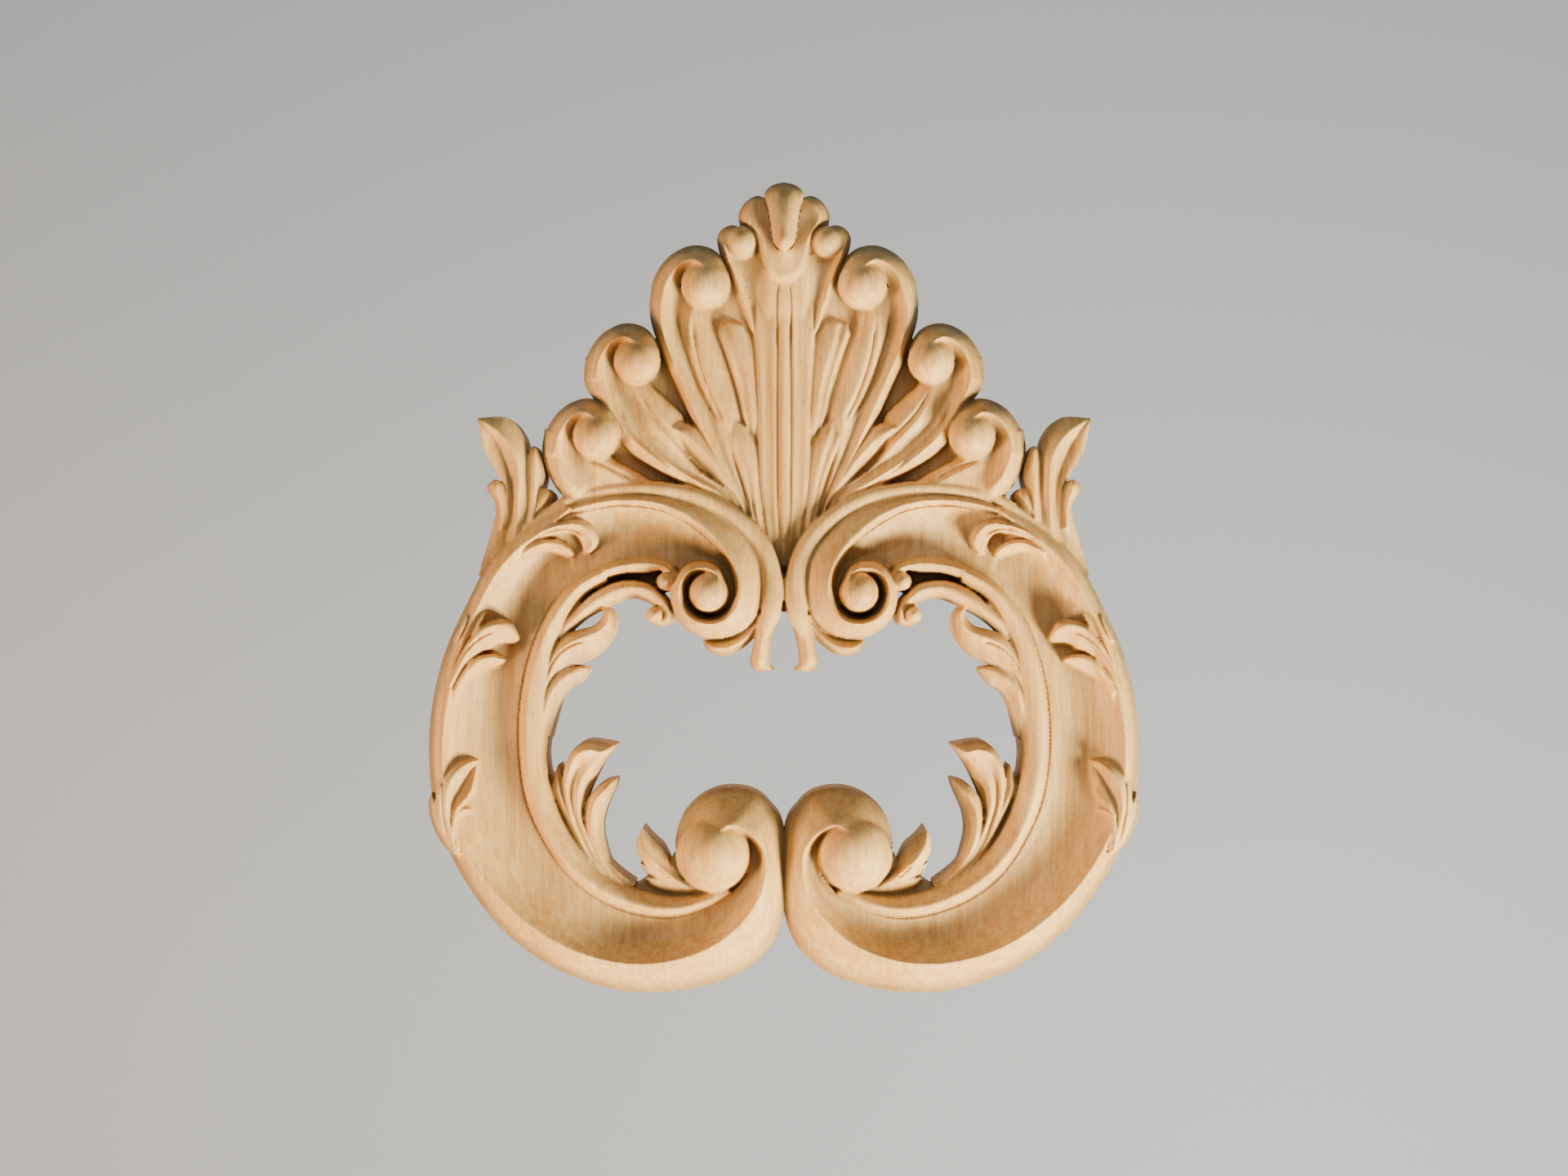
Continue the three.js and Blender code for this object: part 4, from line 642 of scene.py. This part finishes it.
# The tool cuts. A fine gouge leaves narrow grooves: [reach, rise] along the path, then half width
# in grid units and depth in millimetres. They run out to nothing at both ends.
cuts = [
  ([[310, -62], [295, -53], [280, -48], [265, -47], [253, -51], [245, -55]], 3, 1.3),
  ([[407, -230], [395, -205], [380, -187], [365, -177], [352, -173]], 3, 1.3),
  ([[411, -235], [400, -208], [390, -188], [379, -173]], 2.2, 0.8),
  ([[292, -235], [285, -215], [275, -200], [263, -191], [250, -186], [244, -186]], 3, 1.3),
  ([[157, -458], [148, -468], [138, -476]], 2.5, 1.2),
  ([[137, -462], [130, -470], [120, -477]], 2.5, 1.2),
  ([[258, -30], [220, -20.5], [195, -18.5], [152, -24], [114, -43], [85, -68], [67, -97],
    [61, -124], [66, -142]], 2.4, 1.3),
  ([[24, 358], [20, 345], [17, 330], [15, 315], [12, 302], [8, 296], [0, 293]], 2, 1.6),
  ([[6, 258], [8, 238], [9, 215], [9, 195], [9, 175]], 2.4, 0.9),
  ([[218, -90], [257, -112], [286, -144], [305, -184], [318, -230], [324, -275], [324, -325],
    [316, -378], [299, -420], [268, -468], [228, -500], [178, -519], [130, -522], [89, -510],
    [67, -495]], 3, 1.3),
  ([[131, 218], [127, 195], [116, 156], [99, 111], [80, 84]], 5, 1.4),
  ([[114, 213], [109, 178], [99, 139], [83, 102], [74, 85]], 5, 1.4),
  ([[208, 113], [193, 80], [162, 47], [127, 18], [100, 0]], 5, 1.4),
  ([[181, 126], [165, 97], [138, 67], [104, 31], [74, 2]], 5, 1.4),
  ([[240, 38], [215, 28], [185, 12]], 5, 1.2),
]

# The face. The drawn forms are cut as one skin: its height is read on a fine grid, the arrises are
# eased, and the outline is followed to a tenth of a millimetre. The back is sawn flat.
PITCH = 1.4
EASE = 1.2
CUT_POINTS = 24
EDGE_ROUNDS = 5
EDGE_DROP = 0.35
TRIANGLES = 185000
SHARP = math.radians(38)
BACK_EDGE = -0.002
points = np.concatenate([kept for kept, _ in relief])
corners = np.concatenate([kept for _, kept in relief])
forms = BVHTree.FromPolygons(points.tolist(), corners.tolist())
DOWN = Vector((0, 0, -1))


def height_at(reach, rise):
    """The topmost form over a drawn place, or -1 where there is no wood."""
    hit = forms.ray_cast(Vector((abs(reach), rise, 80)), DOWN)[0]
    return -1 if hit is None else hit.z


reaches = np.arange(0, 452, PITCH)
rises = np.arange(-640, 396, PITCH)
height = np.array([[height_at(reach, rise) for reach in reaches] for rise in rises])
wooden = height > 0


def eased(field, spread):
    """The field blurred over `spread` grid units, counting wood only and mirrored at the middle."""
    radius = max(1, round(3 * spread / PITCH))
    steps = np.arange(-radius, radius + 1)
    kernel = np.exp(-0.5 * (steps * PITCH / spread) ** 2)
    weight = wooden.astype(float)
    result = []
    for layer in (field * weight, weight):
        layer = np.pad(layer, ((radius, radius), (0, radius)))
        layer = np.hstack([layer[:, radius:0:-1], layer])
        rows = sum(k * layer[s:s + layer.shape[0] - 2 * radius] for s, k in enumerate(kernel))
        result.append(sum(k * rows[:, s:s + field.shape[1]] for s, k in enumerate(kernel)))
    return result[0] / np.maximum(result[1], 1e-9)


height = eased(height, EASE)
for path, half_width, depth in cuts:
    line = drawn_line([[reach, rise, 0] for reach, rise in path], CUT_POINTS * len(path))[:, :2]
    low, high = line.min(axis=0) - half_width, line.max(axis=0) + half_width
    columns = slice(*np.searchsorted(reaches, (low[0], high[0])))
    rows = slice(*np.searchsorted(rises, (low[1], high[1])))
    spots = np.stack(np.meshgrid(reaches[columns], rises[rows]), axis=-1)
    apart = np.linalg.norm(spots[:, :, None] - line, axis=-1)
    along = apart.argmin(axis=-1) / len(line)
    fade = np.clip(6 * np.minimum(along, 1 - along), 0, 1)
    nearby = np.clip(1 - apart.min(axis=-1) / half_width, 0, 1)
    height[rows, columns] -= depth * fade * nearby ** 1.3
# How far a place lies below what is round it: first narrow creases, then broad dips. This sets painted
# shade: the wood's colour is darkened in the creases and dips, where shade falls.
painted_shade_depth = np.clip(eased(height, 9) - height, 0, 4) / 7
painted_shade_depth += np.clip(eased(height, 24) - height, 0, 7) / 16


def edge_between(inside, outside):
    """Where the wood ends between a grid point in it and the next one outside."""
    for _ in range(EDGE_ROUNDS):
        middle = (inside + outside) / 2
        if height_at(*middle) > 0:
            inside = middle
        else:
            outside = middle
    return inside


rows, columns = wooden.shape
place = [(reach, rise) for rise in rises for reach in reaches]
level = list(height.reshape(-1))
edge_point = {}


def edge_index(one, other):
    """The edge point between two neighbours on the grid, made once and then shared."""
    key = (min(one, other), max(one, other))
    if key not in edge_point:
        inside, outside = (one, other) if wooden.flat[one] else (other, one)
        spot = edge_between(np.array(place[inside]), np.array(place[outside]))
        edge_point[key] = len(place)
        place.append(tuple(spot))
        level.append(level[inside] - EDGE_DROP)
    return edge_point[key]


flat = wooden.reshape(-1)
cell = (np.arange(rows - 1)[:, None] * columns + np.arange(columns - 1)).reshape(-1)
around = np.stack([cell, cell + 1, cell + 1 + columns, cell + columns], axis=1)
filled = flat[around].sum(axis=1)
faces = [tuple(quad) for quad in around[filled == 4].tolist()]
walls = []
for quad in around[(filled > 0) & (filled < 4)].tolist():
    face = []
    leaving = []
    for turn in range(4):
        here, there = quad[turn], quad[(turn + 1) % 4]
        if flat[here]:
            face.append(here)
        if flat[here] != flat[there]:
            face.append(edge_index(here, there))
            leaving.append((face[-1], bool(flat[here])))
    faces.append(tuple(face))
    for turn, (point, goes_out) in enumerate(leaving):
        if goes_out:
            walls.append((point, leaving[(turn + 1) % len(leaving)][0]))

place = np.array(place)
level = np.array(level)
front = on_board(place[:, 0], place[:, 1], level)
count = len(front)
back = front * (1, 0, 1)
half_points = np.vstack([front, back])
half_faces = faces + [(b, a, a + count, b + count) for a, b in walls]
half_faces += [tuple(corner + count for corner in face[::-1]) for face in faces]

skin = bmesh.new()
used = sorted({corner for face in half_faces for corner in face})
where = {}
for side in (1, -1):
    for corner in used:
        on_middle = corner % count < rows * columns and (corner % count) % columns == 0
        on_middle = on_middle or abs(half_points[corner][0]) < 1e-9
        if side == -1 and on_middle:
            where[side, corner] = where[1, corner]
        else:
            where[side, corner] = skin.verts.new(half_points[corner] * (side, 1, 1))
for side in (1, -1):
    for face in half_faces:
        ring = [where[side, corner] for corner in face]
        skin.faces.new(ring if side == 1 else ring[::-1])
bmesh.ops.triangulate(skin, faces=skin.faces[:])
bmesh.ops.recalc_face_normals(skin, faces=skin.faces[:])
raw = bpy.data.meshes.new("applique")
skin.to_mesh(raw)
skin.free()
applique = bpy.data.objects.new("applique", raw)
bpy.context.collection.objects.link(applique)
thinning = applique.modifiers.new("thinning", "DECIMATE")
thinning.ratio = min(1, TRIANGLES / len(raw.polygons))
seen = applique.evaluated_get(bpy.context.evaluated_depsgraph_get())
finished = bpy.data.meshes.new_from_object(seen)
applique.modifiers.clear()
applique.data = finished
bpy.data.meshes.remove(raw)
finished.name = "applique"
finished.polygons.foreach_set("use_smooth", [True] * len(finished.polygons))
finished.set_sharp_from_angle(angle=SHARP)

# How deep each point lies in a dip, read back from the same grid, for the shade painted into the wood's
# colour.
spots = np.empty(len(finished.vertices) * 3)
finished.vertices.foreach_get("co", spots)
spots = spots.reshape(-1, 3)
nearness = 1 - (-spots[:, 1] * 1000 - EYE_PLANE) / EYE_DISTANCE
reach = np.abs(spots[:, 0]) / ACROSS / nearness
rise = (spots[:, 2] / UPWARDS - EYE_RISE) / nearness + EYE_RISE
column = np.clip(np.round(reach / PITCH).astype(int), 0, columns - 1)
row = np.clip(np.round((rise - rises[0]) / PITCH).astype(int), 0, rows - 1)
# Painted shade: the depth of each dip is kept on the mesh so that the material can darken it.
shade = finished.attributes.new("painted_shade_depth", "FLOAT", "POINT")
shade.data.foreach_set("value", np.where(spots[:, 1] < BACK_EDGE, painted_shade_depth[row, column], 0))

# The wood. Light beech, finely sanded and left raw: upright grain, short dark flecks and broader warm
# bands. Over these lies painted shade: a greyer, darker tone where the carving is deep.
wood.use_nodes = True
nodes, links = wood.node_tree.nodes, wood.node_tree.links
shader = nodes["Principled BSDF"]
shader.inputs["Roughness"].default_value = 0.55
shader.inputs["Specular IOR Level"].default_value = 0.35


def wood_node(kind, **values):
    made = nodes.new(kind)
    for name, value in values.items():
        made.inputs[name.replace("_", " ")].default_value = value
    return made


def stretched(scale):
    """Object coordinates scaled so that a pattern runs with the upright grain."""
    mapping = wood_node("ShaderNodeMapping", Scale=scale)
    links.new(coordinates.outputs["Object"], mapping.inputs["Vector"])
    return mapping.outputs["Vector"]


coordinates = nodes.new("ShaderNodeTexCoord")
broad = wood_node("ShaderNodeTexNoise", Scale=1, Detail=3, Roughness=0.5)
links.new(stretched((60, 60, 9)), broad.inputs["Vector"])
lines = wood_node("ShaderNodeTexNoise", Scale=1, Detail=4, Roughness=0.6)
links.new(stretched((900, 900, 40)), lines.inputs["Vector"])
flecks = wood_node("ShaderNodeTexNoise", Scale=1, Detail=1, Roughness=0.4)
links.new(stretched((3800, 3800, 420)), flecks.inputs["Vector"])
bands = wood_node("ShaderNodeTexNoise", Scale=1, Detail=2, Roughness=0.5)
links.new(stretched((420, 420, 14)), bands.inputs["Vector"])


def ramp(source, stops):
    """The colour that a pattern's value stands for, from stops of value and colour."""
    made = nodes.new("ShaderNodeValToRGB")
    made.color_ramp.elements[0].position = stops[0][0]
    made.color_ramp.elements[1].position = stops[-1][0]
    for stop in stops[1:-1]:
        made.color_ramp.elements.new(stop[0])
    for element, (_, colour) in zip(made.color_ramp.elements, stops):
        element.color = (*colour, 1)
    links.new(source, made.inputs["Fac"])
    return made.outputs["Color"]


def stained(colour, stain, share):
    """One colour darkened by another, as far as the share says."""
    made = nodes.new("ShaderNodeMix")
    made.data_type = "RGBA"
    made.blend_type = "MULTIPLY"
    made.inputs[0].default_value = share
    links.new(colour, made.inputs[6])
    links.new(stain, made.inputs[7])
    return made.outputs[2]


tone = ramp(broad.outputs["Fac"], ((0.3, (0.66, 0.395, 0.115)), (0.5, (0.73, 0.46, 0.15)),
                                   (0.72, (0.80, 0.535, 0.19))))
warmth = ramp(bands.outputs["Fac"], ((0.36, (0.90, 0.76, 0.62)), (0.6, (1, 1, 1))))
tone = stained(tone, warmth, 0.9)
grain = ramp(lines.outputs["Fac"], ((0.3, (0.78, 0.74, 0.70)), (0.62, (1, 1, 1))))
tone = stained(tone, grain, 0.9)
dash = ramp(flecks.outputs["Fac"], ((0.30, (0.60, 0.46, 0.36)), (0.38, (1, 1, 1))))
tone = stained(tone, dash, 0.6)
# Painted shade: the colour is darkened and greyed where the carving lies deep, as if shade fell there.
depth = nodes.new("ShaderNodeAttribute")
depth.attribute_name = "painted_shade_depth"
painted_shade_tint = ramp(depth.outputs["Fac"], ((0.0, (1, 1, 1)), (0.6, (0.51, 0.53, 0.58))))
tone = stained(tone, painted_shade_tint, 1.0)
links.new(tone, shader.inputs["Base Color"])
relief_of_grain = wood_node("ShaderNodeBump", Strength=0.25, Distance=0.0002)
links.new(lines.outputs["Fac"], relief_of_grain.inputs["Height"])
links.new(relief_of_grain.outputs["Normal"], shader.inputs["Normal"])
finished.materials.clear()
finished.materials.append(wood)
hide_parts("applique")
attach(applique, "root")

# The studio. A pale wall sweeps down to a pale floor behind the piece. A warm lamp stands low at the
# right, a weaker orange one low at the left, and a faint cool one above the camera.
paper = bpy.data.materials.new("backdrop paper")
paper.use_nodes = True
matt = paper.node_tree.nodes["Principled BSDF"]
matt.inputs["Base Color"].default_value = (0.295, 0.335, 0.41, 1)
matt.inputs["Roughness"].default_value = 0.9
FLOOR = -1.2
BEND = 0.45
BEND_START = 0.3
profile = [(-3.0, FLOOR), (BEND_START, FLOOR)]
profile += [(BEND_START + BEND * math.sin(a), FLOOR + BEND - BEND * math.cos(a))
            for a in np.linspace(0, math.pi / 2, 17)[1:]]
profile += [(BEND_START + BEND, 2.5)]
sweep = bpy.data.meshes.new("backdrop")
sweep.from_pydata([(x, y, z) for x in (-3, 3) for y, z in profile], [],
                  [(i, i + 1, i + 1 + len(profile), i + len(profile))
                   for i in range(len(profile) - 1)])
sweep.polygons.foreach_set("use_smooth", [True] * len(sweep.polygons))
sweep.materials.append(paper)
backdrop = bpy.data.objects.new("backdrop", sweep)
bpy.context.collection.objects.link(backdrop)

for name, spot, size, energy, colour in (
        ("key", (0.75, -0.50, -0.80), 0.35, 66, (1.0, 0.92, 0.70)),
        ("fill", (-1.0, -0.40, -0.55), 0.35, 28, (1.0, 0.66, 0.40)),
        ("top", (0.0, -1.4, 0.7), 0.9, 7, (0.78, 0.89, 1.0))):
    lamp = bpy.data.lights.new(name, "AREA")
    lamp.size = size
    lamp.energy = energy
    lamp.color = colour
    lantern = bpy.data.objects.new(name, lamp)
    lantern.location = spot
    towards = Vector((0, 0, -0.03)) - Vector(spot)
    lantern.rotation_euler = towards.to_track_quat("-Z", "Y").to_euler()
    bpy.context.collection.objects.link(lantern)
sky = bpy.data.worlds.new("studio")
sky.use_nodes = True
sky.node_tree.nodes["Background"].inputs["Color"].default_value = (0.62, 0.76, 1.0, 1)
sky.node_tree.nodes["Background"].inputs["Strength"].default_value = 0.17
bpy.context.scene.world = sky

eye = bpy.data.cameras.new("camera")
eye.sensor_width = 36
eye.lens = 43.456
camera = bpy.data.objects.new("camera", eye)
camera.location = (0, -0.5945, -0.030)
camera.rotation_euler = (math.pi / 2, 0, 0)
bpy.context.collection.objects.link(camera)
bpy.context.scene.camera = camera
